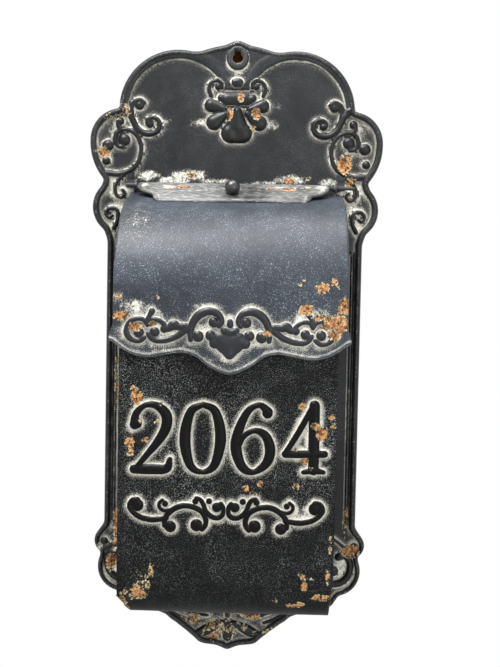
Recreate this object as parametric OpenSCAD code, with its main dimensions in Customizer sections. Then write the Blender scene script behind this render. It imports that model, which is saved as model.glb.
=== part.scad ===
// Wall-hung sheet-metal mailbox: an embossed back plate with a rolled rim, a folded
// body, a rounded hood that lifts to empty it, and a small letter flap with a ball knob.
// Origin: centre of the round part of the hanging keyhole, on the wall plane.
// X runs to the right as seen from the street, Y runs into the wall, Z is up.
// Depths below are distances out from the wall, so a depth d lies at y = -d.

/* [Sheet] */
// Thickness of the steel sheet
sheet_t = 0.8; // [0.6:0.1:1.2]

/* [Back plate] */
// Depth of the flat pressed field, at its front face
field_depth = 2.8; // [2:0.1:4]
// Depth of the crest of the rolled rim
rim_depth = 7; // [5.5:0.5:9]
// Width of the rolled rim, seen from the front
rim_w = 7; // [6:0.5:8]
// Width of the edge that is turned in against the wall
lip_w = 3; // [2:0.5:4]
// Radius of the two big arches at the top
arch_r = 58; // [54:1:62]
// Half width of the straight rails beside the body
rail_x = 125; // [121:1:135]
// Width of the ridge pressed along each rail
rail_ridge_w = 4; // [3:0.5:5]

/* [Hanging eyelet] */
// Radius of the round part of the keyhole
keyhole_r = 5.25; // [4:0.25:6]
// Width of the keyhole's slot
keyhole_slot_w = 6; // [4:0.5:7]
// Height of the slot's top above the keyhole's centre
keyhole_slot_h = 7.5; // [6.5:0.25:8]
// Radius of the eyelet's front flange
eyelet_r = 10.8; // [10:0.2:12]
// Radius of the eyelet's barrel
eyelet_barrel_r = 8.6; // [8.4:0.1:9]

/* [Body] */
// Width of the body across its front
body_w = 195; // [180:1:204]
// Depth of the body's front face
body_depth = 96; // [85:1:100]
// Height of the body's front top edge
body_top_z = -216; // [-226:1:-206]
// Height of the body's underside
body_bottom_z = -523; // [-535:1:-500]
// Outside radius of the bend under the body
belly_r = 32; // [20:1:40]
// Width of the flanges on the side plates
flange_w = 10; // [8:1:14]
// Distance of each side plate in from the edge of the front
side_inset = 1; // [0.5:0.25:2]

/* [Hood] */
// Room between each side of the body and the inside of the hood's hem
hood_side_room = 5.7; // [2:0.1:9]
// Depth of the hood's rear edge
hood_rear_depth = 5; // [4.5:0.25:6]
// Height of the hood's rear edge, on its upper face
hood_rear_z = -131.6; // [-134:0.2:-131]
// Slope of the hood's flat top
hood_slope = 17.5; // [12:0.5:20]
// Room between the body's front and the inside of the closed hood
hood_front_room = 6.8; // [2:0.1:10]
// Outside radius of the hood's bend
hood_r = 91; // [85:1:96]
// Height of the valance's side corners
valance_z = -270; // [-280:1:-262]
// Width of the hems folded along the hood's edges
hem_w = 4; // [3:0.5:6]

/* [Letter slot and flap] */
// How far the closed flap reaches past each end of the letter slot
slot_cover = 2.6; // [1:0.2:15]
// Depth at which the letter slot starts
slot_depth_a = 15; // [14:0.5:18]
// Depth at which the letter slot ends
slot_depth_b = 33; // [28:0.5:35]
// Gap between the flap's end and the hood ear that it has slid towards
flap_end_gap = 0.6; // [0.3:0.1:5]
// Sideways place of the flap, which has slid along its rod
flap_shift = -2; // [-2:0.5:2]
// Angle of the closed flap below level
flap_tilt = 32; // [30:0.5:38]
// Diameter of the ball knob
knob_d = 14.6; // [12:0.2:16]
// Diameter of the knob's screw
screw_d = 3; // [3:0.5:4]

/* [Hinge] */
// Diameter of the hinge rod
rod_d = 3; // [2.5:0.1:3.4]
// Depth of the rod's axis
rod_depth = 8; // [7.5:0.25:9]
// Height of the rod's axis
rod_z = -124.3; // [-125:0.1:-123]
// How far the rod's left end stands out of its strap
rod_end_left = 0.9; // [0.4:0.1:2]
// How far the rod's right end stands out of its strap
rod_end_right = 9.9; // [0.4:0.1:11]
// Distance of each strap's middle out from the body's side
strap_out = 5.1; // [5.1:0.1:6.5]
// Width of each strap
strap_w = 7; // [5:0.5:7]
// Height of the strap's tab above the rod
strap_h = 13.5; // [12:0.5:18]
// Angle at which each strap runs down from its tab to the rod
strap_tilt = 35; // [25:1:45]
// Width of each hood ear
ear_w = 3.6; // [2.6:0.2:3.6]

/* [Clearances] */
// Radial running clearance between the rod and what turns on it
rod_gap = 0.08; // [0.05:0.01:0.1]
// Gap between the hood and the body that it closes on
hood_gap = 0.6; // [0.4:0.1:1]
// Gap between the closed flap and the hood
flap_gap = 0.3; // [0.2:0.1:0.5]
// Gap between the front panel and the flanges folded behind it
seam_gap = 0.1; // [0.05:0.05:0.3]
// Gap between parts side by side on the rod
side_gap = 0.3; // [0.2:0.1:0.5]
// Radial clearance of rivets and eyelet in their holes
rivet_gap = 0.05; // [0.02:0.01:0.1]

/* [Rivets] */
// Diameter of a rivet's shank
rivet_d = 2.4; // [2:0.1:3]
// Diameter of a rivet's head
rivet_head_d = 4.6; // [4:0.1:6]
// Height of a rivet's head
rivet_head_h = 1.2; // [0.8:0.1:1.5]

/* [Hidden] */
$fn = 64;
far = 400;

// Crest at the top of the plate, right half, from the middle outwards
crest_half = [[0, 18], [7, 15.4], [12, 13], [17, 12], [22, 11], [27, 9.6], [31.5, 8.2], [36, 6.7], [46, 6.5]];
// Tongue of the raised crest that hangs between the arches, drawn at the rim's outside
tongue_half = [[0, -24], [14, -24], [34, 2], [57, 4]];
// Straight parts and the bottom of the plate, right half, from the arch downwards
side_half = [[98, -14], [113, -60], [128, -118], [131, -122], [131, -160], [rail_x, -178], [rail_x, -464],
    [129, -492], [108.5, -529.5], [103, -538], [85, -541], [62, -549.5], [57.5, -554], [52.5, -557],
    [47.5, -561], [42, -565], [33, -572.5], [28.5, -577], [23, -578.5], [12, -579.5], [7, -581.3], [0, -584.5]];
// Round lobes on the plate's right edge: centre x, centre z, radius
lobes = [[57, -50, arch_r], [112, -80, 31], [112, -145, 28], [122, -476, 12.7], [106, -502, 25]];
// Long lower flank of the upper lobe: centre x, centre z, radius; it ends level with its centre
flank = [88, -82, 55];

// The valance's lower edge, right half, from the side: share of the hood's half width, height above its corner
valance_half = [[1, 14], [1.032, 6], [1.027, 1.5], [0.971, 0], [0.913, -5.5], [0.822, -11], [0.692, -13],
    [0.577, -11], [0.442, -8.6], [0.365, -9], [0.288, -11.8], [0.192, -19], [0.087, -24.8], [0, -27.3]];
// The flap's edge, right half, from its top: x in from its end, and share of its length
flap_edge = [[6, -0.045], [0, 0.2], [7, 0.48], [13, 0.54], [17, 0.64], [19, 0.84], [24, 1]];
// Damage at the body's lower front corners: how far each cut runs along x, in depth and up
crushed_left = [24, 45, 25];
bent_right = [6, 40, 36];
// Heights of the rivets that hold each side plate to the back plate
body_rivet_z = [-160, -330, -500];

hood_w = body_w + 2 * (hood_side_room + sheet_t);
// The hood's flat top is what its bend leaves of its depth
hood_flat = body_depth + hood_front_room + sheet_t - hood_rear_depth - hood_r * (1 - sin(hood_slope));
hood_front_z = hood_rear_z - hood_flat * tan(hood_slope);
hood_cd = hood_rear_depth + hood_flat - hood_r * sin(hood_slope);
hood_cz = hood_front_z - hood_r * cos(hood_slope);
hood_depth = hood_cd + hood_r;
side_x = body_w / 2 - side_inset;
bore_r = rod_d / 2 + rod_gap;
knuckle_r = bore_r + sheet_t;
hole_r = rivet_d / 2 + rivet_gap;
barrel_hole_r = eyelet_barrel_r + rivet_gap;
clinch_r = eyelet_r - 0.8;
eyelet_t = 1;
body_rivet_x = side_x - flange_w / 2 - 0.5;
bottom_rivet_x = 40;
bottom_rivet_z = body_bottom_z + flange_w / 2 + 0.5;
strap_x = body_w / 2 + strap_out;
rod_left = -strap_x - strap_w / 2 - rod_end_left;
rod_right = strap_x + strap_w / 2 + rod_end_right;
ear_x = strap_x - strap_w / 2 - side_gap;
flap_half = ear_x - ear_w - abs(flap_shift) - flap_end_gap;
slot_len = 2 * (flap_half - flap_edge[len(flap_edge) - 1].x - slot_cover);
rivet_z = rod_z + strap_h - 3.5;
// The strap's web leaves the curl at its tangent and ends inside the tab
web_len = (rod_depth + bore_r * sin(strap_tilt) - field_depth - sheet_t / 4) / cos(strap_tilt);
web_z = rod_z + web_len * sin(strap_tilt) + bore_r * cos(strap_tilt);
rib_x = rail_x - rim_w - rail_ridge_w / 2 - 0.5;
rib_top_z = -186;
rib_bottom_z = -456;
// The flap's underside runs along a line at this distance from the rod's axis
flap_under = knuckle_r - sheet_t;
flap_drop = rod_z + flap_under * cos(flap_tilt) - hood_rear_z - flap_gap / cos(hood_slope)
    + (rod_depth + flap_under * sin(flap_tilt) - hood_rear_depth) * tan(hood_slope);
flap_len = flap_drop / (sin(flap_tilt) - cos(flap_tilt) * tan(hood_slope));
knob_s = 0.53 * flap_len;
knob_sink = 0.5;
screw_head_h = 1.6;
screw_len = 8;

// --- helpers -------------------------------------------------------------

// Unit normal on the right of the step from a to b
function edge_normal(a, b) = [b.y - a.y, a.x - b.x] / norm(b - a);
// A clockwise outline moved inwards by d
function inset(pts, d) = let (n = len(pts)) [for (i = [0 : n - 1])
    let (m1 = edge_normal(pts[(i + n - 1) % n], pts[i]), m2 = edge_normal(pts[i], pts[(i + 1) % n]))
    pts[i] + d * (m1 + m2) / (1 + m1 * m2)];
// A right half, listed from the middle line and back to it, closed with its mirror image
function mirrored(half) = concat(half, [for (i = [len(half) - 1 : -1 : 0]) if (half[i].x > 0) [-half[i].x, half[i].y]]);

// Extrudes a front view between two depths
module sheet(depth_a, depth_b) {
    translate([0, -depth_a, 0]) rotate([90, 0, 0]) linear_extrude(depth_b - depth_a) children();
}

// Extrudes a side view, drawn as depth and height, from x = a to x = b
module across(a, b) {
    translate([b, 0, 0]) rotate([90, 0, -90]) linear_extrude(b - a) children();
}

// A round bar along Y between two depths
module pin(x, z, r, depth_a, depth_b) {
    translate([x, -depth_a, z]) rotate([90, 0, 0]) cylinder(r = r, h = depth_b - depth_a);
}

// --- back plate ------------------------------------------------------------

// Draws its children on the right and, mirrored, on the left
module both_sides() {
    children();
    mirror([1, 0, 0]) children();
}

// Front view of the plate, or of its field, moved in by d
module plate_shape(top_half, d) {
    polygon(inset(mirrored(concat(top_half, side_half)), d));
    both_sides() {
        for (l = lobes) translate([l[0], l[1]]) circle(r = l[2] - d, $fn = 96);
        intersection() {
            translate([flank[0], flank[1]]) circle(r = flank[2] - d, $fn = 128);
            translate([flank[0], flank[1] - flank[2]]) square(flank[2]);
        }
    }
}

// Ring between two copies of the plate's front view
module rim_ring(d_out, d_in) {
    difference() {
        plate_shape(crest_half, d_out);
        plate_shape(crest_half, d_in);
    }
}

// Pressed from one sheet: turned-in lip, outer skirt, rim, inner wall, recessed field and rail ridges
module back_plate() color("#2b2e31") {
    field_back = field_depth - sheet_t;
    rim_back = rim_depth - sheet_t;
    difference() {
        union() {
            sheet(0, sheet_t) rim_ring(0, lip_w);
            sheet(0, rim_depth) rim_ring(0, sheet_t);
            sheet(rim_back, rim_depth) difference() {
                plate_shape(crest_half, 0);
                plate_shape(tongue_half, rim_w);
            }
            sheet(field_back, rim_depth) difference() {
                plate_shape(tongue_half, rim_w - sheet_t);
                plate_shape(tongue_half, rim_w);
            }
            sheet(field_back, field_depth) plate_shape(tongue_half, rim_w - sheet_t);
            both_sides() rail_rib(rail_ridge_w / 2, field_back);
        }
        both_sides() rail_rib(rail_ridge_w / 2 - sheet_t, field_back - 1);
        pin(0, 0, barrel_hole_r, rim_back - 1, rim_depth + 1);
        both_sides() {
            pin(strap_x, rivet_z, hole_r, 0, rim_depth);
            for (z = body_rivet_z) pin(body_rivet_x, z, hole_r, 0, rim_depth);
            pin(bottom_rivet_x, bottom_rivet_z, hole_r, 0, rim_depth);
        }
    }
}

// Half-round ridge along the right rail, standing out from the field
module rail_rib(r, back) {
    intersection() {
        translate([rib_x, -field_depth, rib_bottom_z]) cylinder(r = r, h = rib_top_z - rib_bottom_z);
        translate([0, -far, -far * 2]) cube([far, far - back, far * 2]);
    }
}

// Grommet with the keyhole through it; its barrel reaches the wall and its rear edge is clinched
module hanger_eyelet() color("#4a4d4f") {
    difference() {
        union() {
            pin(0, 0, eyelet_r, rim_depth, rim_depth + eyelet_t);
            pin(0, 0, eyelet_barrel_r, 0, rim_depth + eyelet_t);
            pin(0, 0, clinch_r, rim_depth - sheet_t - eyelet_t, rim_depth - sheet_t);
        }
        pin(0, 0, keyhole_r, -1, rim_depth + 2);
        sheet(-1, rim_depth + 2) translate([-keyhole_slot_w / 2, 0]) square([keyhole_slot_w, keyhole_slot_h]);
    }
}

// --- body ------------------------------------------------------------------

// Side view of the body's inside or outside, moved in by d
module body_shape(d, top) {
    front = body_depth - d;
    bottom = body_bottom_z + d;
    r = belly_r - d;
    translate([front - r, bottom + r]) circle(r = r);
    translate([field_depth, bottom]) square([front - r - field_depth, top - bottom]);
    translate([field_depth, bottom + r]) square([front - field_depth, top - bottom - r]);
}

// Everything beyond the damaged lower front corner on side s, moved in by d
module corner_cut(s, cut, d) {
    n = [s / cut[0], -1 / cut[1], -1 / cut[2]] / norm([1 / cut[0], 1 / cut[1], 1 / cut[2]]);
    translate([s * body_w / 2, -body_depth, body_bottom_z + cut[2]])
        rotate([0, acos(n.z), atan2(n.y, n.x)])
            translate([-far / 4, -far / 4, -d]) cube(far / 2);
}

// Both damaged corners
module corner_cuts(d) {
    corner_cut(-1, crushed_left, d);
    corner_cut(1, bent_right, d);
}

// One sheet folded under at the belly, with a hem at its top and a flange at the back
module front_panel() color("#202224") {
    hem_half = side_x - flange_w - 1;
    difference() {
        union() {
            difference() {
                across(-body_w / 2, body_w / 2) body_shape(0, body_top_z);
                difference() {
                    across(-far, far) body_shape(sheet_t, body_top_z + 1);
                    corner_cuts(sheet_t);
                }
                corner_cuts(0);
            }
            across(-hem_half, hem_half) translate([body_depth - 2 * sheet_t, body_top_z - 8]) square([sheet_t, 8]);
            across(-hem_half, hem_half) translate([field_depth, body_bottom_z]) square([sheet_t, flange_w]);
        }
        both_sides() pin(bottom_rivet_x, bottom_rivet_z, hole_r, 0, rim_depth);
    }
}

// Extrudes a side view, kept inside the closed hood, from x = a to x = b
module under_hood(a, b) {
    across(a, b) difference() {
        children();
        translate([-1, -2 * far]) difference() {
            square([far, 2 * far]);
            translate([1, 2 * far]) hood_shape(sheet_t + hood_gap);
        }
    }
}

// Right side plate: its top follows the hood, and flanges turn in at the front, the bottom and the back
module side_plate() {
    fold = sheet_t + seam_gap;
    difference() {
        union() {
            under_hood(side_x - sheet_t, side_x) body_shape(fold, rod_z);
            under_hood(side_x - flange_w, side_x) difference() {
                body_shape(fold, rod_z);
                body_shape(fold + sheet_t, 0);
            }
            under_hood(side_x - flange_w, side_x)
                translate([field_depth, body_bottom_z + fold]) square([sheet_t, far]);
        }
        for (z = body_rivet_z) pin(body_rivet_x, z, hole_r, 0, rim_depth);
    }
}

module side_plate_right() color("#232527") difference() {
    side_plate();
    corner_cut(1, bent_right, sheet_t + seam_gap);
}

module side_plate_left() color("#232527") difference() {
    mirror([1, 0, 0]) side_plate();
    corner_cut(-1, crushed_left, sheet_t + seam_gap);
}

// --- hood --------------------------------------------------------------------

// Side view of what the hood covers, moved in by d: straight top, round bend and upright front
module hood_shape(d) {
    r = hood_r - d;
    up = [sin(hood_slope), cos(hood_slope)];
    centre = [hood_cd, hood_cz];
    top_z = hood_rear_z + hood_rear_depth * tan(hood_slope) - d / cos(hood_slope);
    start = d > 0 ? 0 : hood_rear_depth;
    start_z = top_z - start * tan(hood_slope);
    polygon([[start, -2 * far], [start, start_z], centre + r * up, centre + r / 2 * [1, 1],
        centre + [r, 0], [hood_cd + r, -2 * far]]);
    intersection() {
        translate(centre) circle(r = r, $fn = 128);
        polygon([centre, centre + 2 * r * up, centre + 2 * r * [1, 1], centre + [2 * r, 0]]);
    }
}

// Front view of the hood with its shaped valance, moved in by d
module valance_shape(d) {
    low = [for (p = valance_half) [p.x * hood_w / 2, p.y + valance_z]];
    polygon(inset(mirrored(concat([[0, 0], [hood_w / 2, 0]], low)), d));
}

// Rounded lid: one bent sheet with hems at its sides and valance, the letter slot and two hinge ears
module hood() color("#3a3f45") {
    half = hood_w / 2;
    difference() {
        union() {
            intersection() {
                across(-far, far) difference() {
                    hood_shape(0);
                    hood_shape(sheet_t);
                }
                sheet(0, far) valance_shape(0);
            }
            both_sides() intersection() {
                across(half - sheet_t, half) difference() {
                    hood_shape(0);
                    hood_shape(hem_w);
                }
                sheet(0, far) valance_shape(0);
            }
            sheet(hood_depth - 2 * sheet_t, hood_depth) intersection() {
                difference() {
                    valance_shape(0);
                    valance_shape(hem_w);
                }
                translate([-far, -2 * far]) square([2 * far, 2 * far + valance_z + 14]);
            }
            both_sides() {
                across(ear_x - ear_w, ear_x) translate([rod_depth, rod_z]) circle(r = knuckle_r);
                across(ear_x - ear_w, ear_x) translate([rod_depth - knuckle_r, hood_rear_z - 1])
                    square([sheet_t, rod_z - hood_rear_z + 1]);
            }
        }
        across(-far, far) translate([rod_depth, rod_z]) circle(r = bore_r);
        translate([flap_shift - slot_len / 2, -slot_depth_b, hood_cz]) cube([slot_len, slot_depth_b - slot_depth_a, far]);
    }
}

// --- letter flap ---------------------------------------------------------------

// Places its children on the flap: origin on the rod's axis, y up along the flap, z out of its face
module on_flap() {
    translate([flap_shift, -rod_depth, rod_z]) rotate([flap_tilt, 0, 0]) children();
}

// Stepped plate that curls round the rod along its top
module slot_flap() color("#33373b") on_flap() {
    edge = mirrored([for (p = flap_edge) [flap_half - p[0], -p[1] * flap_len]]);
    difference() {
        union() {
            translate([0, 0, flap_under]) linear_extrude(sheet_t) polygon(edge);
            rotate([0, 90, 0]) cylinder(r = knuckle_r, h = 2 * flap_half - 2, center = true);
        }
        rotate([0, 90, 0]) cylinder(r = bore_r, h = far, center = true);
        translate([0, -knob_s, 0]) cylinder(r = screw_d / 2 + rivet_gap, h = far);
    }
}

// Ball with a flat seat, drilled and tapped for its screw
module flap_knob() color("#1b1c1e") on_flap() translate([0, -knob_s, knuckle_r]) {
    difference() {
        translate([0, 0, knob_d / 2 - knob_sink]) sphere(r = knob_d / 2);
        translate([-knob_d, -knob_d, -knob_d]) cube([2 * knob_d, 2 * knob_d, knob_d]);
        translate([0, 0, -1]) cylinder(r = screw_d / 2 + rivet_gap, h = screw_len - sheet_t + 1.2);
    }
}

// Pan-head screw put in from behind the flap
module knob_screw() color("#8a8f94") on_flap() translate([0, -knob_s, flap_under]) {
    difference() {
        translate([0, 0, -screw_head_h]) cylinder(r = screw_d, h = screw_head_h);
        translate([-screw_d, -0.4, -screw_head_h - 1]) cube([2 * screw_d, 0.8, 1.7]);
    }
    cylinder(r = screw_d / 2, h = screw_len);
}

// --- hinge ---------------------------------------------------------------------

module hinge_rod() color("#55504a") {
    translate([rod_left, -rod_depth, rod_z]) rotate([0, 90, 0]) cylinder(r = rod_d / 2, h = rod_right - rod_left);
}

// Right strap: a tab riveted to the plate, led forward and down and curled round the rod
module hinge_strap() {
    half = strap_w / 2;
    difference() {
        across(strap_x - half, strap_x + half) difference() {
            union() {
                translate([field_depth, web_z]) square([sheet_t, rod_z + strap_h - web_z]);
                translate([rod_depth, rod_z]) {
                    rotate(-strap_tilt) translate([-web_len, bore_r]) square([web_len, sheet_t]);
                    circle(r = knuckle_r);
                }
            }
            translate([rod_depth, rod_z]) circle(r = bore_r);
        }
        pin(strap_x, rivet_z, hole_r, 0, rim_depth);
    }
}

module hinge_strap_right() color("#4b4e50") hinge_strap();
module hinge_strap_left() color("#4b4e50") mirror([1, 0, 0]) hinge_strap();

// --- rivets ----------------------------------------------------------------------

// A rivet through the plate's field and one sheet in front of it
module rivet(x, z) {
    back = field_depth - sheet_t;
    front = field_depth + sheet_t;
    pin(x, z, rivet_d / 2, back, front);
    pin(x, z, rivet_head_d / 2, front, front + rivet_head_h);
    pin(x, z, rivet_head_d / 2, back - rivet_head_h, back);
}

module strap_rivets() color("#5d5f60") both_sides() rivet(strap_x, rivet_z);

module body_rivets() color("#5d5f60") both_sides() {
    for (z = body_rivet_z) rivet(body_rivet_x, z);
    rivet(bottom_rivet_x, bottom_rivet_z);
}

back_plate();
hanger_eyelet();
front_panel();
side_plate_left();
side_plate_right();
hood();
slot_flap();
flap_knob();
knob_screw();
hinge_rod();
hinge_strap_left();
hinge_strap_right();
strap_rivets();
body_rivets();
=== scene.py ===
# %% [markdown]
# # A wall mailbox of embossed, weathered sheet steel
#
# The real box is five thin steel pressings: a back plate with a rolled rim and scrollwork,
# a folded body with two side plates, a rounded hood that lifts, and a small letter flap.
# All of it was painted black, washed with thin white paint that stayed in every hollow,
# and then left outdoors until rust broke through. The frame below holds the true sizes.
# Everything made here is worked out in millimetres and turned to metres at the very end.

# %% Load the fixed frame
import math
from functools import partial

import bpy
import numpy as np
from mathutils import Matrix, Vector


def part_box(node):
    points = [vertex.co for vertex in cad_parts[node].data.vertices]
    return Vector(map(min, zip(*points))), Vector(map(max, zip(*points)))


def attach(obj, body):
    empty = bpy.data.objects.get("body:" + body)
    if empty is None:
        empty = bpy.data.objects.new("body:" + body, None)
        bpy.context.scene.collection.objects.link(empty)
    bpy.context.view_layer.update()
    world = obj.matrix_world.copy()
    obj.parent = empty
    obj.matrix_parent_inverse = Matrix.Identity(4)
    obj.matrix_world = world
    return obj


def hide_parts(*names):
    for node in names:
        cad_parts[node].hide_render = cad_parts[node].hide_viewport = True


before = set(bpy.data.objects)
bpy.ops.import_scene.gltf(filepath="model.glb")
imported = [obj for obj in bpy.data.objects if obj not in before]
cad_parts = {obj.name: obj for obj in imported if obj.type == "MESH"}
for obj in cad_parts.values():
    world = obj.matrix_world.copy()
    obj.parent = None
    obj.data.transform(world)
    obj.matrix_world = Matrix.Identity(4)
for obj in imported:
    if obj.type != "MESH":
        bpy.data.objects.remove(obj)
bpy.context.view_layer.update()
MM = 0.001
print("CAD nodes:", ", ".join(sorted(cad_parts)))


# %% Read the driving sizes off the frame
def box_mm(node):
    """Lowest and highest corner of a CAD node, in millimetres."""
    low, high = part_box(node)
    return np.array(low) / MM, np.array(high) / MM


plate_low, plate_high = box_mm("back_plate")
body_low, body_high = box_mm("front_panel")
hood_low, hood_high = box_mm("hood")
rod_low, rod_high = box_mm("hinge_rod")
rim_depth = -plate_low[1]
body_half = body_high[0]
body_depth = -body_low[1]
hood_depth = -hood_low[1]
rod_depth = -(rod_low[1] + rod_high[1]) / 2
rod_z = (rod_low[2] + rod_high[2]) / 2
sheet_t = 0.8
print(f"rim {rim_depth:.1f}, body {body_depth:.1f}, hood {hood_depth:.1f} mm out from the wall")

# %% [markdown]
# ## From arrays to a mesh
#
# Every surface is a grid of points, so one helper can turn any grid into four-sided faces.
# A second one writes points, faces and named values per point into a Blender mesh.
# The named values (how far a point is from the foot of a relief or of a lip, how much wash,
# painted highlight or rust lies there) are what the paint reads later.


# %% Grid faces and mesh builder
def grid_faces(rows, columns, keep=None, close_rows=False, close_columns=False, flip=False):
    """Four-sided faces of a grid whose points are numbered row by row.

    Face (i, j) joins points (i, j), (i, j+1), (i+1, j+1), (i+1, j). A closed direction
    wraps round to its first line, and keep says which faces stay.
    """
    i, j = np.meshgrid(np.arange(rows if close_rows else rows - 1),
                       np.arange(columns if close_columns else columns - 1), indexing="ij")
    i2, j2 = (i + 1) % rows, (j + 1) % columns
    quads = np.stack([i * columns + j, i * columns + j2, i2 * columns + j2, i2 * columns + j], -1)
    if flip:
        quads = quads[..., ::-1]
    return quads[keep] if keep is not None else quads.reshape(-1, 4)


def make_piece(name, skins):
    """Joins skins, each (points in mm, faces, {attribute: values}), into one smooth object."""
    blocks = [p.reshape(-1, 3) for p, _, _ in skins]
    points = np.concatenate(blocks)
    starts = np.cumsum([0] + [len(block) for block in blocks[:-1]])
    quads = np.concatenate([f.reshape(-1, 4) + s for (_, f, _), s in zip(skins, starts)])
    used, quads = np.unique(quads, return_inverse=True)
    quads = quads.reshape(-1, 4)
    mesh = bpy.data.meshes.new(name)
    mesh.vertices.add(len(used))
    mesh.vertices.foreach_set("co", (points[used] * MM).astype(np.float32).ravel())
    mesh.loops.add(quads.size)
    mesh.loops.foreach_set("vertex_index", quads.astype(np.int32).ravel())
    mesh.polygons.add(len(quads))
    mesh.polygons.foreach_set("loop_start", np.arange(0, quads.size, 4, dtype=np.int32))
    for key in ("foot", "seam", "wash", "rust"):
        values = np.concatenate([np.broadcast_to(a.get(key, 0.0), p.shape[:-1]).ravel() for p, _, a in skins])
        mesh.attributes.new(key, "FLOAT", "POINT").data.foreach_set("value", values[used].astype(np.float32))
    mesh.update(calc_edges=True)
    mesh.validate()
    mesh.shade_smooth()
    piece = bpy.data.objects.new(name, mesh)
    bpy.context.scene.collection.objects.link(piece)
    print(f"{name}: {len(used)} points, {len(quads)} faces")
    return piece


def thicken(piece, thickness_mm):
    """Gives a single skin its sheet thickness, grown inwards from the face that shows."""
    wall = piece.modifiers.new("sheet", "SOLIDIFY")
    wall.thickness = thickness_mm * MM
    wall.offset = -1
    return piece


def place(x, depth, z):
    """Points in the row frame from x, distance out from the wall, and height."""
    x, depth, z = np.broadcast_arrays(x, depth, z)
    return np.stack([x, -depth, z], -1)


def smooth_step(t):
    """0 below 0, 1 above 1, and 3t^2 - 2t^3 between."""
    t = np.clip(t, 0, 1)
    return t * t * (3 - 2 * t)


# %% [markdown]
# ## Smooth curves through a few chosen points
#
# Scrollwork is drawn as a modeller would sketch it: a handful of points along each stem,
# each with the stem's half width there. A Catmull-Rom curve passes through all of them.


# %% Curve through points
def spline(points, step=0.6):
    """Catmull-Rom curve through the points: each span is the cubic whose end slopes are
    half the chord between the neighbours, sampled about every step millimetres."""
    p = np.asarray(points, float)
    if len(p) < 2:
        return p
    p = np.vstack([2 * p[0] - p[1], p, 2 * p[-1] - p[-2]])
    spans = []
    for a, b, c, d in zip(p[:-3], p[1:-2], p[2:-1], p[3:]):
        n = max(2, int(np.hypot(*(c - b)[:2]) / step))
        t = (np.arange(n) / n)[:, None]
        spans.append(0.5 * (2 * b + (c - a) * t + (2 * a - 5 * b + 4 * c - d) * t ** 2
                            + (3 * b - a - 3 * c + d) * t ** 3))
    return np.vstack(spans + [p[-2][None]])


def mirrored(strokes):
    """The strokes and their mirrored twins about x = 0."""
    return strokes + [(height, [(-x, z, r) for x, z, r in points]) for height, points in strokes]


def dots(height, *points):
    """One stroke of a single point for each (x, z, radius)."""
    return [(height, [point]) for point in points]


# %% [markdown]
# ## Embossing
#
# A pressed relief is a smooth bump over each stem. For every point of a sheet the code
# finds the nearest place on the stem, compares that distance with the stem's half width
# there, and raises a rounded crest inside and nothing outside. Paint wash gathers at the
# foot of each bump and is rubbed off its top, so the same distance also steers the paint.


# %% Relief of a set of strokes
FOOT_ZERO = 6.0   # value stored at a relief's foot, so that 0 can mean "no relief near"
FARTHEST = 12     # distance from a foot, in mm, beyond which the paint takes no notice of it


def foot_value(gap):
    """Distance outside a relief's foot in mm plus FOOT_ZERO, kept between 1 and 18."""
    return np.clip(gap, 1 - FOOT_ZERO, 18 - FOOT_ZERO) + FOOT_ZERO


def emboss(x, z, strokes):
    """Height of the relief and distance outside its nearest foot, at each point (x, z).

    With q the distance to the stem over its half width, it stands crest * (1 - q^2)^0.7 proud.
    """
    height, gap = np.zeros(x.shape), np.full(x.shape, 99.0)
    for crest, points in strokes:
        line = spline(points)
        reach = line[:, 2].max() + 7
        low, high = line[:, :2].min(0) - reach, line[:, :2].max(0) + reach
        near = (x > low[0]) & (x < high[0]) & (z > low[1]) & (z < high[1])
        if not near.any():
            continue
        away = np.hypot(x[near][:, None] - line[:, 0], z[near][:, None] - line[:, 1]) - line[:, 2]
        best = away.argmin(1)
        outside = away[np.arange(len(best)), best]
        q = np.clip(1 + outside / line[best, 2], 0, 1)
        height[near] = np.maximum(height[near], crest * (1 - q * q) ** 0.7)
        gap[near] = np.minimum(gap[near], outside)
    return height, gap


def patches(x, z, spots):
    """Soft blots: the greatest of strength * (1 - distance^2), with distance measured in
    each blot's own half width and half height; it falls below 0 past the blot's edge."""
    value = np.full(x.shape, -1.0)
    for spot_x, spot_z, half_w, half_h, strength in spots:
        far = ((x - spot_x) / half_w) ** 2 + ((z - spot_z) / half_h) ** 2
        value = np.maximum(value, strength * (1 - far))
    return np.clip(value, 0, 1)


# %% [markdown]
# ## A bent sheet
#
# The hood, the body, the flap and the hinge ears are all one strip bent along its length.
# Seen from the side, each is a chain of straight runs and arcs, so one function follows
# the chain and returns where a point at a given length along the strip lies.


# %% Side view of a bent sheet
def bent(along, start, heading, runs):
    """Depth, height and outward direction at each length along a bent strip.

    Each run is (length, turn in degrees). A straight run adds length times its heading;
    an arc of radius R = length / turn adds R times the change of sine and cosine.
    """
    depth, z = np.full(along.shape, float(start[0])), np.full(along.shape, float(start[1]))
    angle = np.full(along.shape, math.radians(heading))
    begin, turned = 0.0, math.radians(heading)
    for length, turn in runs:
        s = np.clip(along - begin, 0, length)
        if turn:
            radius = length / math.radians(turn)
            depth += radius * (np.sin(turned + s / radius) - math.sin(turned))
            z -= radius * (np.cos(turned + s / radius) - math.cos(turned))
            angle += s / radius
        else:
            depth += s * math.cos(turned)
            z += s * math.sin(turned)
        begin, turned = begin + length, turned + math.radians(turn)
    return depth, z, -np.sin(angle), np.cos(angle)


# %% [markdown]
# ## Outline of the back plate
#
# The plate's edge is a union of simple shapes: two big arches, round lobes, straight rails
# and a scalloped foot. Every ray from the plate's middle leaves it once, so the edge is
# the farthest of those shapes along each ray. Taking rays finely and then walking the
# result in equal steps gives an even outline with no case by case corner work.

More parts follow.
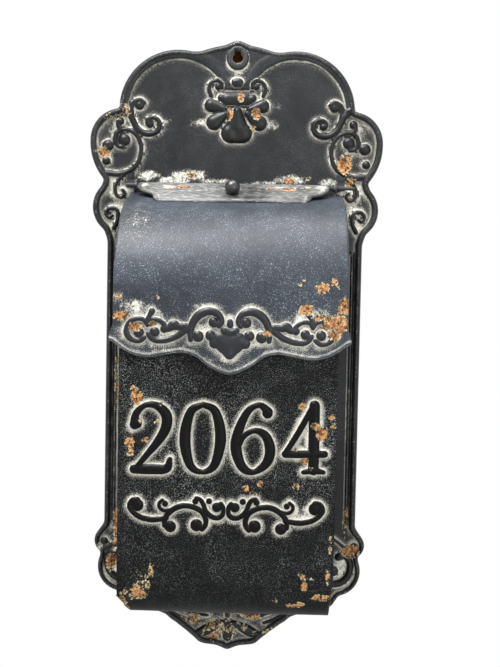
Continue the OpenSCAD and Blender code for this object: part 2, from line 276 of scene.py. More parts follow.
# %% Shapes that make up the outline
arch_r, rim_w, arch_rim_w, lip_w, field_depth = 58, 7, 9.4, 3, 2.8
eyelet_r = 10.8
ARCH = (57, -50)
CREST = [(0, 18), (7, 15.4), (12, 13), (17, 12), (22, 11), (27, 9.6), (31.5, 8.2), (36, 6.7), (46, 6.5)]
SIDES = [
    (98, -14), (113, -60), (128, -118), (131, -122), (131, -160), (125, -178), (125, -464), (129, -492),
    (108.5, -529.5), (103, -538), (85, -541), (62, -549.5), (57.5, -554), (52.5, -557), (47.5, -561),
    (42, -565), (33, -572.5), (28.5, -577), (23, -578.5), (12, -579.5), (7, -581.3), (0, -584.5)]
LOBES = [(*ARCH, arch_r), (112, -80, 31), (112, -145, 28), (122, -476, 12.7), (106, -502, 25)]
FLANK = (88, -82, 55)
middle_z = (plate_low[2] + plate_high[2]) / 2


def edge_radius(angle):
    """Distance from the plate's middle to its edge along rays at these angles, right half.

    A ray meets the segment a-b at cross(a, b) / cross(u, b - a), and a circle of radius R
    about c at c.u + sqrt(R^2 - c.c + (c.u)^2), with u the ray's direction.
    """
    u = np.stack([np.cos(angle), np.sin(angle)], -1)
    corner = np.array(CREST + SIDES, float) - (0, middle_z)
    turn = np.arctan2(corner[:, 1], corner[:, 0])
    k = np.clip(np.searchsorted(-turn, -angle) - 1, 0, len(corner) - 2)
    a, b = corner[k], corner[k + 1]
    radius = (a[:, 0] * b[:, 1] - a[:, 1] * b[:, 0]) / (u[:, 0] * (b - a)[:, 1] - u[:, 1] * (b - a)[:, 0])
    for cx, cz, r in LOBES + [FLANK]:
        along = u @ np.array([cx, cz - middle_z])
        root = r * r - cx ** 2 - (cz - middle_z) ** 2 + along ** 2
        hit = np.where(root > 0, along + np.sqrt(np.clip(root, 0, None)), 0)
        if (cx, cz, r) == FLANK:
            hit = np.where((hit * u[:, 1] + middle_z < cz) & (hit * u[:, 0] > cx), hit, 0)
        radius = np.maximum(radius, hit)
    return radius


def even_steps(line, step):
    """A closed line walked again in equal steps of about step millimetres."""
    closed = np.vstack([line, line[:1]])
    run = np.concatenate([[0], np.cumsum(np.hypot(*np.diff(closed, axis=0).T))])
    at = np.linspace(0, run[-1], int(run[-1] / step) + 1)[:-1]
    return np.stack([np.interp(at, run, closed[:, 0]), np.interp(at, run, closed[:, 1])], -1)


def relaxed(line, passes):
    """A closed line (or field of directions) with each point averaged with its neighbours."""
    for _ in range(passes):
        line = 0.5 * line + 0.25 * (np.roll(line, 1, 0) + np.roll(line, -1, 0))
    return line


RAYS, EDGE_STEP = 12001, 1.9
half_turn = np.linspace(math.pi / 2, -math.pi / 2, RAYS)
reach = edge_radius(half_turn)
right = np.stack([reach * np.cos(half_turn), reach * np.sin(half_turn) + middle_z], -1)
outline = relaxed(even_steps(np.vstack([right, right[-2:0:-1] * (-1, 1)]), EDGE_STEP), 2)
tangent = np.roll(outline, -1, 0) - np.roll(outline, 1, 0)
inward = relaxed(np.stack([tangent[:, 1], -tangent[:, 0]], -1), 14)
inward /= np.hypot(*inward.T)[:, None]
print(f"outline: {len(outline)} points round {len(outline) * EDGE_STEP:.0f} mm")


# %% [markdown]
# ## The rolled rim
#
# The edge of the plate is rolled forward into a bead and its lip is turned in against the
# wall. That is one closed section carried round the outline: its front follows a quarter
# ellipse up to the crest and another down to the field, and its back is the same a sheet
# thickness further in.

# %% Rim section, carried round the outline
def rim_section():
    """Distance in from the edge and depth of the rim's section, front side then back side."""
    rise, fall = np.radians(np.linspace(8, 90, 6)), np.radians(np.linspace(12, 90, 7))
    crest, low = rim_w / 2, 0.8
    front_in = np.concatenate([[lip_w, 0.7, 0.1], crest * (1 - np.cos(rise)),
                               crest + (crest + 0.3) * np.sin(fall)])
    front_out = np.concatenate([[0, 0, 0.6], low + (rim_depth - low) * np.sin(rise),
                                field_depth - 0.6 + (rim_depth - field_depth + 0.6) * np.cos(fall)])
    bend = np.radians(np.linspace(90, 0, 4))
    back_in = np.concatenate([crest + (crest - 1) * np.sin(bend), [0.9, 0.9, lip_w]])
    back_out = np.concatenate([2.0 + (rim_depth - sheet_t - 2.0) * np.cos(bend), [3.2, sheet_t, sheet_t]])
    return np.concatenate([front_in, back_in]), np.concatenate([front_out, back_out])


WHITE_SIDES = [
    (-118, -126, 17, 16, 0.6), (116, -128, 17, 15, 0.66), (-104, -128, 12, 16, 0.6), (105, -128, 13, 18, 0.7),
    (-112, -148, 16, 18, 0.66), (113, -148, 16, 18, 0.74), (-120, -160, 9, 16, 0.7), (121, -160, 9, 16, 0.74),
    (-122, -66, 14, 14, 0.42), (-127, -94, 9, 16, 0.4), (124, -66, 12, 14, 0.36), (112, -96, 14, 12, 0.42),
    (-113, -502, 14, 22, 0.7), (113, -502, 14, 24, 0.85), (124, -476, 9, 9, 0.6), (-124, -476, 9, 9, 0.6)]
PLATE_WASH = WHITE_SIDES + [
    (-45, -113, 24, 8, 0.8), (-60, -119, 26, 7, 0.8), (-86, -114, 18, 7, 0.75), (-20, -119, 26, 4, 0.7),
    (55, -116, 22, 7, 0.75), (28, -120, 30, 3.5, 0.6), (-38, -62, 11, 6, 0.6), (36, -63, 8, 7, 0.6),
    (0, -14, 8, 4, 0.5), (0, -2, 15, 17, 0.36), (90, -118, 14, 6, 0.7), (-68, -61, 6, 5, 0.5),
    (40, -45, 7, 5, 0.45), (0, -36, 12, 8, 0.3), (0, -556, 50, 22, 0.26), (-112, -330, 4, 140, 0.26),
    (112.5, -330, 3, 130, 0.16), (-118, -455, 4, 26, 0.4), (118, -450, 4, 26, 0.35)]
PLATE_RUST = [
    (4, -37, 5, 6, 0.85), (-7, -53, 4, 9, 0.8), (19, -53, 6, 8, 0.95), (16, -67, 5, 5, 0.7),
    (-108, -52, 8, 8, 0.62), (-130, -92, 9, 8, 0.75), (-122, -60, 10, 8, 0.5), (106, -100, 9, 14, 1.0),
    (112, -117, 9, 6, 0.7), (-44, -113, 9, 5, 0.6), (53, -117, 10, 5, 0.7), (70, -115, 5, 4, 0.62),
    (-113, -462, 4, 34, 0.72), (115, -452, 4, 22, 0.62), (121, -481, 12, 8, 0.95), (-116, -497, 8, 12, 0.9),
    (-14, -560, 16, 10, 0.55), (-14, -571, 10, 6, 0.62), (20, -548, 30, 7, 0.5), (44, -562, 15, 7, 0.55),
    (-34, -552, 16, 8, 0.5), (0, -562, 46, 18, 0.3), (-114, -315, 3, 40, 0.45), (0, -9, 10, 4, 0.3)]


def wash_and_crest_highlight(x, z, section):
    """Value of the rim's own wash and painted highlight: scraps of wash here and there, and a thin painted
    highlight line on its crest.
    """
    scraps = [(0, 17, 7, 5, 0.5), (-130, -484, 6, 8, 0.7), (-118, -46, 12, 8, 0.5), (119, -48, 9, 6, 0.6)]
    return np.maximum(patches(x, z, scraps), 0.3 * np.exp(-((section - 3.4) / 0.9) ** 2))


def rim_share(z):
    """The rim's width as a share of rim_w: narrower round the two lower lobes."""
    return 1 - 0.24 * smooth_step((-456 - z) / 12) * smooth_step((z + 550) / 12)


FRONT_POINTS = 16     # how many of the section's points lie on its front
LAND_FROM_Z = -46     # above this height the rim runs on into a wider land and has no foot
section_in, section_out = rim_section()
rim_reach = np.where(section_in > 0.5, section_in * rim_share(outline[:, 1:]), section_in)
x, z = np.moveaxis(outline[:, None, :] + inward[:, None, :] * rim_reach[..., None], -1, 0)
at_foot = np.where(np.arange(len(section_in)) < FRONT_POINTS, foot_value(section_in - rim_w), 0)
rim_skin = (place(x, section_out[None, :], z), grid_faces(*x.shape, close_rows=True, close_columns=True),
            {"foot": np.where(z > LAND_FROM_Z, 0, at_foot), "wash": wash_and_crest_highlight(x, z, section_in),
             "rust": 0.75 * patches(x, z, PLATE_RUST)})
print(f"rim section: {len(section_in)} points")

# %% [markdown]
# ## Scrollwork on the plate
#
# These are the stems, dots and petals pressed into the field, each drawn once on the left
# and mirrored. A stroke is (height, points), and each point is x, z and half width.

# %% Strokes of the back plate
STEM, DOT = 3.2, 3.6
LEFT_LOBES = [
    (4.1, [(-119, -45, 3.8), (-111, -49.5, 3.8), (-105, -54, 3.6), (-101, -61, 3.5), (-97.6, -67.6, 3.5),
        (-91.8, -72.4, 3.5), (-84.9, -74, 3.4), (-77.6, -71.6, 3.2), (-74.8, -65.8, 2.9), (-76.8, -60.2, 2.6),
        (-82.3, -58.2, 2.4), (-87, -61, 2.3), (-86.8, -64.6, 2.4)]),
    (STEM, [(-101.8, -56, 2.8), (-102.6, -48, 2.6), (-99.2, -42.4, 2.4), (-94, -41, 2.2), (-90, -44, 2.1)]),
    (STEM, [(-134, -112.5, 3.6), (-125, -112.6, 3.4), (-116, -113.3, 3.1), (-107.5, -111.4, 2.8),
        (-100.3, -107.5, 2.6), (-95.3, -101.1, 2.5), (-92.8, -92.8, 2.5), (-93.2, -83.5, 2.5),
        (-97, -75.9, 2.5), (-103.7, -71, 2.5), (-111.1, -70.3, 2.5), (-116.9, -73.9, 2.5), (-118.4, -80.4, 2.4),
        (-115.6, -85.9, 2.3), (-110.5, -87.2, 2.2)]),
    (STEM, [(-111.5, -70.5, 2.4), (-115.5, -66, 2.6), (-114, -62, 3)]),
    (STEM, [(-107.6, -112.6, 2.0), (-113.8, -118.6, 2.0), (-117.6, -126, 2.1), (-116.6, -133, 2.1),
        (-111.6, -136, 2.0), (-107.9, -132.4, 1.9), (-110.4, -128.6, 1.9)]),
    (STEM, [(-118.5, -166, 2.6), (-114.6, -158, 2.4), (-114.4, -151, 2.2), (-118.2, -146.6, 2.2),
        (-123.5, -147.2, 2.2), (-126.2, -151.4, 2.2), (-123.8, -155.8, 2.1), (-120.4, -153.8, 2.0)]),
    (STEM, [(-104, -469.5, 1.9), (-109.5, -473.6, 1.9), (-115, -478.3, 2.2), (-122, -483, 2.8),
        (-131, -487.5, 3.6)]),
    (3.6, [(-110.5, -485.5, 3.4), (-117.2, -487.6, 3.6), (-120.4, -493, 3.8), (-120.6, -500, 3.9),
        (-118, -507.2, 4.0), (-112.4, -512.4, 4.0), (-105, -514.6, 4.0), (-97, -513.6, 3.6)]),
    *dots(DOT, (-84.4, -64.6, 4.2), (-94.8, -46.4, 5.0), (-109.4, -80.0, 6.3), (-113.6, -62.2, 4.4),
        (-125.2, -85.6, 6.0), (-126.8, -100.6, 4.4), (-109, -487.4, 4.4), (-103.6, -501.6, 6.0)),
    *dots(2.8, (-124.4, -476.6, 4.2)),
]
SHELL = [
    (STEM, [(-25.5, -36, 2.4), (-27.4, -29.4, 2.4), (-25.1, -23.6, 2.3), (-19.9, -21.4, 2.3),
        (-14.9, -24.2, 2.1), (-14.6, -28.8, 1.9)]),
    (3.0, [(-15.4, -38, 4.0), (-9, -41.5, 3.6)]),
    (4.2, [(-25, -45.6, 7.0), (-19, -47.2, 5.6), (-12, -49, 3.2)]),
    (4.2, [(-22, -62, 8.0), (-17, -58, 6.2), (-9.6, -52.6, 2.8)]),
    *dots(DOT, (-18.6, -27.4, 3.6)),
]
CREST_BAND = [
    (0.8, [(-53, 4.9, 4.2), (-41, 2.9, 4.4), (-30, -1.4, 4.6), (-20.4, -8.4, 4.6), (-13.6, -16.6, 3.8),
        (-10.4, -24, 2.4)]),
]
SHELL_MIDDLE = [
    (4.0, [(-1.6, -24, 4.9), (1.6, -24, 4.9)]),
    (2.8, [(-9, -39.5, 6.6), (9, -39.5, 6.6)]),
    (5.4, [(0.5, -50.5, 4.4), (0.5, -56, 6.8), (0.3, -61.5, 9.0), (0, -67, 11.4)]),
    (5.2, [(-5.6, -72, 10), (5.6, -72, 10)]),
]
FOOT_SHELL = [
    (3.4, [(5, -556, 3.0), (14, -560.4, 5.0), (23, -565, 5.6), (31, -567.6, 3.2)]),
    (2.4, [(20, -549.6, 1.9), (31, -548.4, 2.3), (42, -545.4, 1.9)]),
    (2.2, [(36, -556, 2.0), (46, -552.4, 2.2), (56, -546.5, 1.8)]),
]
FOOT_MIDDLE = [
    (3.4, [(0, -558, 3.2), (0, -565, 5.6), (0, -571, 4.6)]),
    (2.6, [(0, -548, 3.2), (0, -553.5, 1.6)]),
]
PLATE_STROKES = mirrored(LEFT_LOBES + SHELL + FOOT_SHELL) + SHELL_MIDDLE + FOOT_MIDDLE
print(f"plate: {len(PLATE_STROKES)} strokes")


# %% Depth of the plate's field
rib_x, rib_half, rib_top, rib_bottom = 115.5, 2.0, -186, -456
land_depth = 5.9
DENTS = [(-60, -70, 30, 0.5), (50, -95, 36, -0.5), (20, -20, 20, 0.3), (-30, -100, 24, -0.4)]


def rib_share(z):
    """1 along the ridge that runs down each rail, falling to 0 past its two ends."""
    return smooth_step((rib_top - z) / 6 + 0.5) * smooth_step((z - rib_bottom) / 6 + 0.5)


def field(x, z, edge_gap):
    """Depth of the field's front, and distances from the rim's foot and from the scrollwork's.

    The field is flat at field_depth, apart from slight dents, and climbs a short soft wall
    to the raised land of the crest outside the two arches. The scrollwork and the ridge
    along each rail stand on it.
    """
    beyond = np.hypot(np.abs(x) - ARCH[0], z - ARCH[1]) - (arch_r - arch_rim_w)
    beyond = np.minimum(beyond, np.where(np.abs(x) < ARCH[0], z + 31, z + 50))
    land = smooth_step(beyond / 3 + 0.5)
    height, gap = emboss(x, z, PLATE_STROKES)
    band, _ = emboss(x, z, mirrored(CREST_BAND))
    dent = sum(size * np.exp(-((x - dx) ** 2 + (z - dz) ** 2) / spread ** 2) for dx, dz, spread, size in DENTS)
    inside_rib = rib_share(z)
    rib = np.clip(1 - ((np.abs(x) - rib_x) / rib_half) ** 2, 0, 1) ** 0.6 * rib_half * inside_rib
    dimple = 1.6 * np.exp(-(x ** 2 + (z + 73) ** 2) / 22)
    depth = (field_depth + dent + (land_depth - field_depth) * land + height * (1 - 0.45 * land)
             + rib + band - dimple)
    rib_gap = np.abs(np.abs(x) - rib_x) - rib_half + 6 * (1 - inside_rib)
    wall = np.minimum(edge_gap - rim_w * rim_share(z), -beyond)
    beside = np.where((np.abs(x) < rib_x) & (rib_gap < 1.4), rib_gap, FARTHEST)
    wall = np.where((inside_rib > 0.5) & (np.abs(x) < 122), beside, wall)
    gap = np.minimum(gap, np.hypot(x, z / 1.08) - eyelet_r - 0.4)
    spiral, ring = np.hypot(np.abs(x) - 17.5, z + 30), np.hypot(x, z + 12)
    # no wash on the land, save round its spirals and the eyelet, nor between the shell's top strokes
    clean = smooth_step(beyond / 4) * smooth_step((spiral - 6.5) / 3) * smooth_step((ring - 13) / 4)
    middle = smooth_step((14 - np.abs(x)) / 3) * smooth_step((z + 48) / 3) * smooth_step((-26 - z) / 3)
    seam = np.where(gap < 0, gap, gap + (FARTHEST - gap) * np.maximum(clean, middle))
    return depth, foot_value(np.where(gap < -0.3, FARTHEST, wall)), foot_value(seam)


# %% Distance from points to the outline
def to_edge(x, z):
    """Nearest outline point of each (x, z) and the signed distance to it, above 0 inside."""
    fine = even_steps(outline, EDGE_STEP / 2)
    parts = zip(*(np.array_split(a.ravel(), 20) for a in (x, z)))   # in parts, to spare memory
    nearest = [((a[:, None] - fine[:, 0]) ** 2 + (b[:, None] - fine[:, 1]) ** 2).argmin(1) for a, b in parts]
    foot = fine[np.concatenate(nearest)].reshape(x.shape + (2,))
    gap = np.hypot(x - foot[..., 0], z - foot[..., 1])
    edge = edge_radius(np.arctan2(z - middle_z, np.abs(x)).ravel()).reshape(x.shape)
    return foot, np.where(np.hypot(x, z - middle_z) < edge, gap, -gap)


def trimmed_field(columns, rows, margin, back):
    """The field as a grid cut off margin millimetres inside the outline.

    A cell stays if one of its corners lies inside the cut. Its other corners slide along
    the shortest line to the edge until they lie on the cut, so the rim of the grid is even.
    """
    x, z = np.meshgrid(columns, rows)
    foot, gap = to_edge(x, z)
    inner = gap >= margin
    any_in = inner[:-1, :-1] | inner[1:, :-1] | inner[:-1, 1:] | inner[1:, 1:]
    away = np.stack([x, z], -1) - foot
    away *= (margin / np.where(np.abs(gap) < 1e-6, 1, gap))[..., None]
    x = np.where(inner, x, foot[..., 0] + away[..., 0])
    z = np.where(inner, z, foot[..., 1] + away[..., 1])
    hole = np.hypot(x, z) < eyelet_hole_r
    any_in &= ~(hole[:-1, :-1] & hole[1:, 1:] & hole[1:, :-1] & hole[:-1, 1:])
    depth, foot, seam = field(x, z, np.maximum(gap, margin))
    if back:
        return (place(x, depth - sheet_t, z), grid_faces(*x.shape, keep=any_in),
                {"rust": 0.62 * patches(x, z, PLATE_RUST)})
    return (place(x, depth, z), grid_faces(*x.shape, keep=any_in, flip=True),
            {"foot": foot, "seam": seam, "wash": np.maximum(patches(x, z, PLATE_WASH), rib_crest_highlight(x, z)),
             "rust": patches(x, z, PLATE_RUST)})


def rib_crest_highlight(x, z):
    """Wash value that paints a thin highlight line along the crest of each rail's ridge."""
    return 0.34 * np.exp(-((np.abs(x) - rib_x) / 0.8) ** 2) * rib_share(z)


# Fine cells where there is scrollwork and across each rail's ridge, long ones down the rails
eyelet_hole_r, side_reach, fine_step, back_step = 8.0, 145, 1.4, 3.0
FRONT_MARGIN, BACK_MARGIN = 5.2, 5.6   # the field ends this far inside the outline, under the rim
columns = np.unique(np.concatenate([np.arange(-side_reach, side_reach + 1, fine_step),
                                    np.arange(-120, -110, 0.7), np.arange(110, 120, 0.7)]).round(2))
rows = np.concatenate([np.arange(18, -190, -fine_step), np.arange(-190, -452, -6.0),
                       np.arange(-452, -584, -fine_step)])
back_columns = np.arange(-side_reach, side_reach + 1, back_step)
back_rows = np.arange(18, -586, -back_step)
back_plate = make_piece("back_plate_pressing", [
    rim_skin, trimmed_field(columns, rows, FRONT_MARGIN, False),
    trimmed_field(back_columns, back_rows, BACK_MARGIN, True)])
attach(back_plate, "box")
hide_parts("back_plate")

# %% [markdown]
# ## The hanging eyelet
#
# A grommet pressed through the crest. Its face is a shallow dome round a keyhole, so each
# ray from the centre runs from the outer foot over the dome and down the barrel wall.

# %% Eyelet
keyhole_r, slot_half, slot_top = 5.25, 3.0, 7.5


def keyhole(angle):
    """Distance from the centre to the keyhole's wall: the circle, or the slot above it."""
    sine, cosine = np.sin(angle), np.abs(np.cos(angle))
    slot = np.minimum(slot_half / np.maximum(cosine, 1e-6), slot_top / np.maximum(sine, 1e-6))
    return np.where(sine > 0, np.maximum(keyhole_r, slot), keyhole_r)


# Along each ray: how far in from the foot to the keyhole's wall, and how far out from the wall
angle = np.linspace(0, 2 * math.pi, 97)[:-1, None]
share = np.array([0, 0.05, 0.25, 0.5, 0.75, 0.95, 1, 1, 1, 1, 0.55, 0.3, 0.3])[None]
out = np.array([5.6, 6.9, 7.8, 8.1, 8.0, 7.7, 7.1, 5.0, 2.0, 0.0, 0.0, 0.8, 5.6])[None]
outer = eyelet_r * (1 + 0.08 * np.sin(angle) ** 2)
radius = outer + (keyhole(angle) - outer) * share
radius = np.where(share == 0.55, np.maximum(radius, keyhole_r + 1.4), radius)
eyelet = make_piece("eyelet_grommet", [
    (place(radius * np.cos(angle), out, radius * np.sin(angle)),
     grid_faces(*radius.shape, close_rows=True, flip=True),
     {"rust": np.where(share > 0.96, 0.62, 0.0)})])
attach(eyelet, "box")
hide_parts("hanger_eyelet")

# %% [markdown]
# ## The hood
#
# One sheet: a sloping top that starts at the hinge, a wide bend, and a short upright front
# that ends in a shaped valance. Points are laid out by x and by length along the sheet.
# The lowest rows follow the valance's curve, which is flared out and rolled into a hem.

# %% Hood sizes
hood_slope, hood_r, valance_z, hem_w = 17.5, 91, -270, 4
hood_rear_z = -131.6
hood_rear_depth = -hood_high[1]
hood_half = 104
slope = math.radians(hood_slope)
top_run = (hood_depth - hood_r * (1 - math.sin(slope)) - hood_rear_depth) / math.cos(slope)
bend_run = hood_r * math.radians(90 - hood_slope)
upright_z = hood_rear_z - top_run * math.sin(slope) - hood_r * math.cos(slope)
HOOD_RUNS = [(top_run, 0), (bend_run, hood_slope - 90), (200, 0)]
VALANCE = [
    (0, -27.3), (9, -24.8), (20, -19), (30, -11.8), (38, -9), (46, -8.6), (60, -11), (72, -13), (85.5, -11),
    (95, -5.5), (101, 0), (104, 1.5), (108, 6)]
print(f"hood: top {top_run:.1f}, bend {bend_run:.1f}, upright from z {upright_z:.1f}")


def valance_height(x):
    """Height of the valance's edge at x, from a smooth curve through a few points."""
    curve = spline(VALANCE, 1.0)
    return valance_z + np.interp(np.abs(x), curve[:, 0], curve[:, 1])


# %% Strokes of the hood
HOOD_HALF = [
    (2.2, [(-75.9, -267, 2.0), (-80.6, -270.2, 2.0), (-87.4, -269, 2.1), (-91.3, -263.8, 2.2),
        (-91.5, -257.8, 2.2), (-87.8, -252.5, 2.1), (-81, -250.4, 2.0), (-76.4, -251.8, 1.9),
        (-73.6, -255.6, 1.9)]),
    (2.5, [(-34.8, -257, 3.2), (-40.2, -260.4, 2.9), (-46.9, -265.2, 2.6), (-55.6, -268.7, 2.5),
        (-64.4, -269.6, 2.4), (-69.8, -267.4, 2.3), (-72.6, -263.4, 2.1)]),
    (2.2, [(-73.4, -255.6, 2.0), (-70.7, -251.7, 2.0), (-65.3, -251.2, 2.0), (-60.6, -253.4, 2.0),
        (-57.6, -257, 2.2), (-58.6, -260.4, 2.4)]),
    (2.2, [(-73.4, -256.2, 1.9), (-73.6, -251.6, 2.0), (-71.4, -247.4, 2.1), (-69.4, -243.6, 2.8)]),
    (2.5, [(-59.4, -259, 2.6), (-54.4, -258.6, 3.0), (-50, -255.6, 4.2), (-46, -256.8, 3.2),
        (-38.9, -256.6, 3.0)]),
    (3.0, [(-34.9, -268.5, 2.0), (-35, -261, 2.8), (-33.6, -254.8, 3.2), (-30.3, -249, 3.5), (-25.6, -245, 3.6),
        (-20, -242.9, 3.5), (-13.8, -243.6, 3.1), (-9, -247.2, 2.6), (-7.4, -252, 2.3), (-9.8, -256, 2.0)]),
    *dots(2.6, (-81, -262.6, 4.6), (-67, -262, 4.4)),
    *dots(3.0, (-14.4, -252.6, 4.6)),
    *dots(2.8, (-28.2, -265.2, 5.0)),
    *dots(2.9, (-17.2, -264.2, 4.6), (-13.4, -270.8, 4.8)),
]
HOOD_MIDDLE = [
    (2.4, [(0, -251.8, 2.5), (0, -254.6, 3.0)]),
    (2.4, [(-6, -259.6, 2.6), (0, -261.6, 3.4), (6, -259.6, 2.6)]),
    (3.2, [(-8, -269, 7.6), (0, -272.5, 9.4), (8, -269, 7.6)]),
    (3.2, [(0, -274, 9.0), (0, -280.4, 4.6)]),
]
HOOD_STROKES = mirrored(HOOD_HALF) + HOOD_MIDDLE

HOOD_WASH = [
    (0, -285, 30, 12, 0.42), (-55, -276, 52, 9, 0.34), (55, -276, 52, 9, 0.34), (20, -262, 14, 10, 0.62),
    (-22, -260, 10, 8, 0.62), (27, -272, 14, 6, 0.5), (-50, -263, 12, 4, 0.8), (-66, -257, 9, 3.6, 0.95),
    (58, -263, 10, 4, 0.85), (66, -257, 8, 3.6, 0.8), (-84, -240, 16, 10, 0.75), (-70, -247, 16, 7, 0.6),
    (-98, -232, 7, 8, 0.6), (-86, -150, 24, 46, 0.34), (-45, -240, 8, 5, 0.25), (62, -246, 10, 7, 0.6),
    (92, -258, 9, 8, 0.75), (-96, -262, 8, 12, 0.4), (-20, -238, 22, 4, 0.5), (20, -238, 16, 4, 0.35),
    (80, -243, 14, 7, 0.5), (100, -235, 6, 12, 0.5), (0, -247, 6, 4, 0.6)]
HOOD_RUST = [
    (-96, -248, 9, 6, 0.9), (-83, -258, 8, 6, 1.0), (-68, -255, 6, 4, 0.7), (-98, -232, 5, 4, 0.62),
    (-63, -231, 3.2, 2.6, 0.6), (-88, -240, 7, 4, 0.5), (82, -221, 9, 6, 0.88), (66, -213, 3.5, 4, 0.6),
    (92, -214, 4, 7, 0.6), (95, -220, 4, 4, 0.6), (68, -240, 9, 6, 0.92), (62, -219, 3, 3.5, 0.6),
    (80, -247, 10, 5, 0.7), (96, -252, 10, 12, 1.0), (101, -237, 7, 10, 0.95), (92, -262, 9, 6, 0.75),
    (34, -262, 4.5, 4, 0.9), (88, -253, 12, 8, 0.7), (106, -216, 2, 3, 0.6)]

# %% Hood surface
slot_x, slot_depth = (-68.0, 64.0), (15.0, 33.0)
edge_roll = 0.9   # radius of the fold in a hem


def hood_grid():
    """The hood as a grid: rows run down the sheet, columns across it and round its side hems."""
    across = np.concatenate([np.linspace(-hood_half + 1, slot_x[0], 32), np.linspace(*slot_x, 112)[1:-1],
                             np.linspace(slot_x[1], hood_half - 1, 34)])
    turn = np.radians([22, 45, 68, 90])
    hem_x = np.concatenate([np.sin(turn), np.ones(3)])
    hem_drop = np.concatenate([1 - np.cos(turn), [2.0, 3.0, hem_w]])
    x0 = np.concatenate([(-hood_half + 1 - hem_x)[::-1], across, hood_half - 1 + hem_x])
    drop = np.concatenate([hem_drop[::-1], np.zeros(len(across)), hem_drop])
    slot_rows = [(d - hood_rear_depth) / math.cos(slope) for d in slot_depth]
    top = np.concatenate([np.linspace(0, slot_rows[0], 5)[:-1], np.linspace(*slot_rows, 8)[:-1],
                          np.linspace(slot_rows[1], top_run, 4)[:-1],
                          np.linspace(top_run, top_run + bend_run, 44)])
    front_length = upright_z - valance_height(x0)
    down = np.linspace(0, 1, 46)[1:]
    along = np.concatenate([np.broadcast_to(top[:, None], (len(top), len(x0))),
                            top_run + bend_run + down[:, None] * front_length[None]])
    keep = np.ones((len(along) - 1, len(x0) - 1), bool)
    mid_x, mid_s = (x0[:-1] + x0[1:]) / 2, (top[:-1] + top[1:]) / 2
    in_slot_x = (mid_x > slot_x[0]) & (mid_x < slot_x[1])
    in_slot_s = (mid_s > slot_rows[0]) & (mid_s < slot_rows[1])
    keep[:len(mid_s)] &= ~(in_slot_s[:, None] & in_slot_x[None])
    return x0, drop, along, keep


def hood_surface():
    """Each point is the bent sheet's own, moved out by the relief and flare and in by the hem.

    Height on the sheet, w, is z on the upright front and goes on up the bend by length, so
    a pattern drawn in x and w lies on the curved sheet without stretching.
    """
    x0, drop, along, keep = hood_grid()
    depth, z, out_depth, out_z = bent(along, (hood_rear_depth, hood_rear_z), -hood_slope, HOOD_RUNS)
    w = upright_z + top_run + bend_run - along
    x = np.broadcast_to(x0, along.shape).copy()
    above = w - valance_height(x0)[None]
    height, gap = emboss(x, w, HOOD_STROKES)
    flare = 1.9 * smooth_step(1 - above / 3.4)
    sag = 0.5 * np.sin(x / 37) * np.sin(w / 29) * smooth_step(above / 30)
    lift = height + flare + sag - np.broadcast_to(drop, along.shape) * (1 - 0.9 * smooth_step(1 - above / 14))
    x += np.sign(x) * 3.2 * smooth_step((np.abs(x) - 86) / 20) * smooth_step((valance_z + 15 - w) / 11)
    x = 0.99 * x + 1.1
    depth, z = depth + out_depth * lift, z + out_z * lift
    return x, depth, z, w, above, keep, gap


def hem(edge, way, degrees, strip):
    """Rows that fold an edge's (x, depth, z) back behind itself: half a small circle, which dips for a
    way of -1 and rises for 1, and then a strip at the given heights from the edge."""
    turn = np.radians(degrees)
    back = np.concatenate([edge_roll * (1 - np.cos(turn)), np.full(len(strip), 2 * edge_roll)])[:, None]
    up = np.concatenate([way * edge_roll * np.sin(turn), strip])[:, None]
    return edge[0] + 0 * back, edge[1] - back, edge[2] + up


x, depth, z, w, above, keep, gap = hood_surface()
folded = hem((x[-1], depth[-1], z[-1]), -1, [45, 90, 135, 180], [1.8, hem_w])
x, depth, z = [np.vstack(pair) for pair in zip((x, depth, z), folded)]
below = ((0, len(folded[0])), (0, 0))
w, keep = np.pad(w, below, mode="edge"), np.pad(keep, below, constant_values=True)
# The hem's height above the valance edge is kept as a foot, so the foot line paints a thin highlight along the
# rolled lip.
foot, seam = [np.pad(a, below) for a in (foot_value(above - 0.9), foot_value(gap))]
hood_skin = (place(x, depth, z), grid_faces(*x.shape, keep=keep),
             {"foot": foot, "seam": seam, "wash": patches(x, w, HOOD_WASH), "rust": patches(x, w, HOOD_RUST)})

# %% [markdown]
# ### Hinge ears
#
# Two narrow tongues of the same sheet run up from the hood's rear edge and curl round the
# rod. They are strips along the same kind of bent path.

# %% Ears
ear_x, ear_w, ear_rise = 97.0, 3.6, 8.6
curl_r, CURL_TURN = 2.38, 250
curl_run = curl_r * math.radians(CURL_TURN)
ear_along = np.concatenate([[0], np.linspace(ear_rise, ear_rise + curl_run, 22)])
ear_depth, ear_z, *_ = bent(ear_along, (rod_depth - curl_r, rod_z - ear_rise), 90,
                            [(ear_rise, 0), (curl_run, -CURL_TURN)])
ear_skins = []
for side in (-1, 1):
    strip = np.linspace(-ear_w / 2, ear_w / 2, 5) + side * ear_x
    ear_points = place(strip[None], ear_depth[:, None], ear_z[:, None])
    ear_skins.append((ear_points, grid_faces(*ear_points.shape[:2]), {"wash": 0.3}))

hood = thicken(make_piece("hood_sheet", [hood_skin] + ear_skins), sheet_t)
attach(hood, "hood")
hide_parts("hood")

# %% [markdown]
# ## The body's front panel
#
# This sheet hangs straight down, turns under in a round belly and runs back to the wall.
# Its lower corners are damaged: the left one is crushed flat and the right one is bent in.
# Both are cuts by a slanting plane, and the sheet's side edge is drawn in to that plane.

# %% Body sizes and digits
body_top_z, belly_r = body_high[2], 32
body_bottom_z = body_low[2]
drop_run = body_top_z - body_bottom_z - belly_r
belly_run = belly_r * math.pi / 2
BODY_RUNS = [(drop_run, 0), (belly_run, -90), (100, 0)]
CRUSHED_LEFT, BENT_RIGHT = (30, 45, 22, 1.3), (6, 40, 36, 1.0)
DIGIT_H, DIGIT_W, DIGIT_PITCH, digit_foot_z, digit_lean = 62, 37, 45.5, -387, 0.021
THICK, THIN, DIGIT_RELIEF = 4.6, 1.7, 3.0

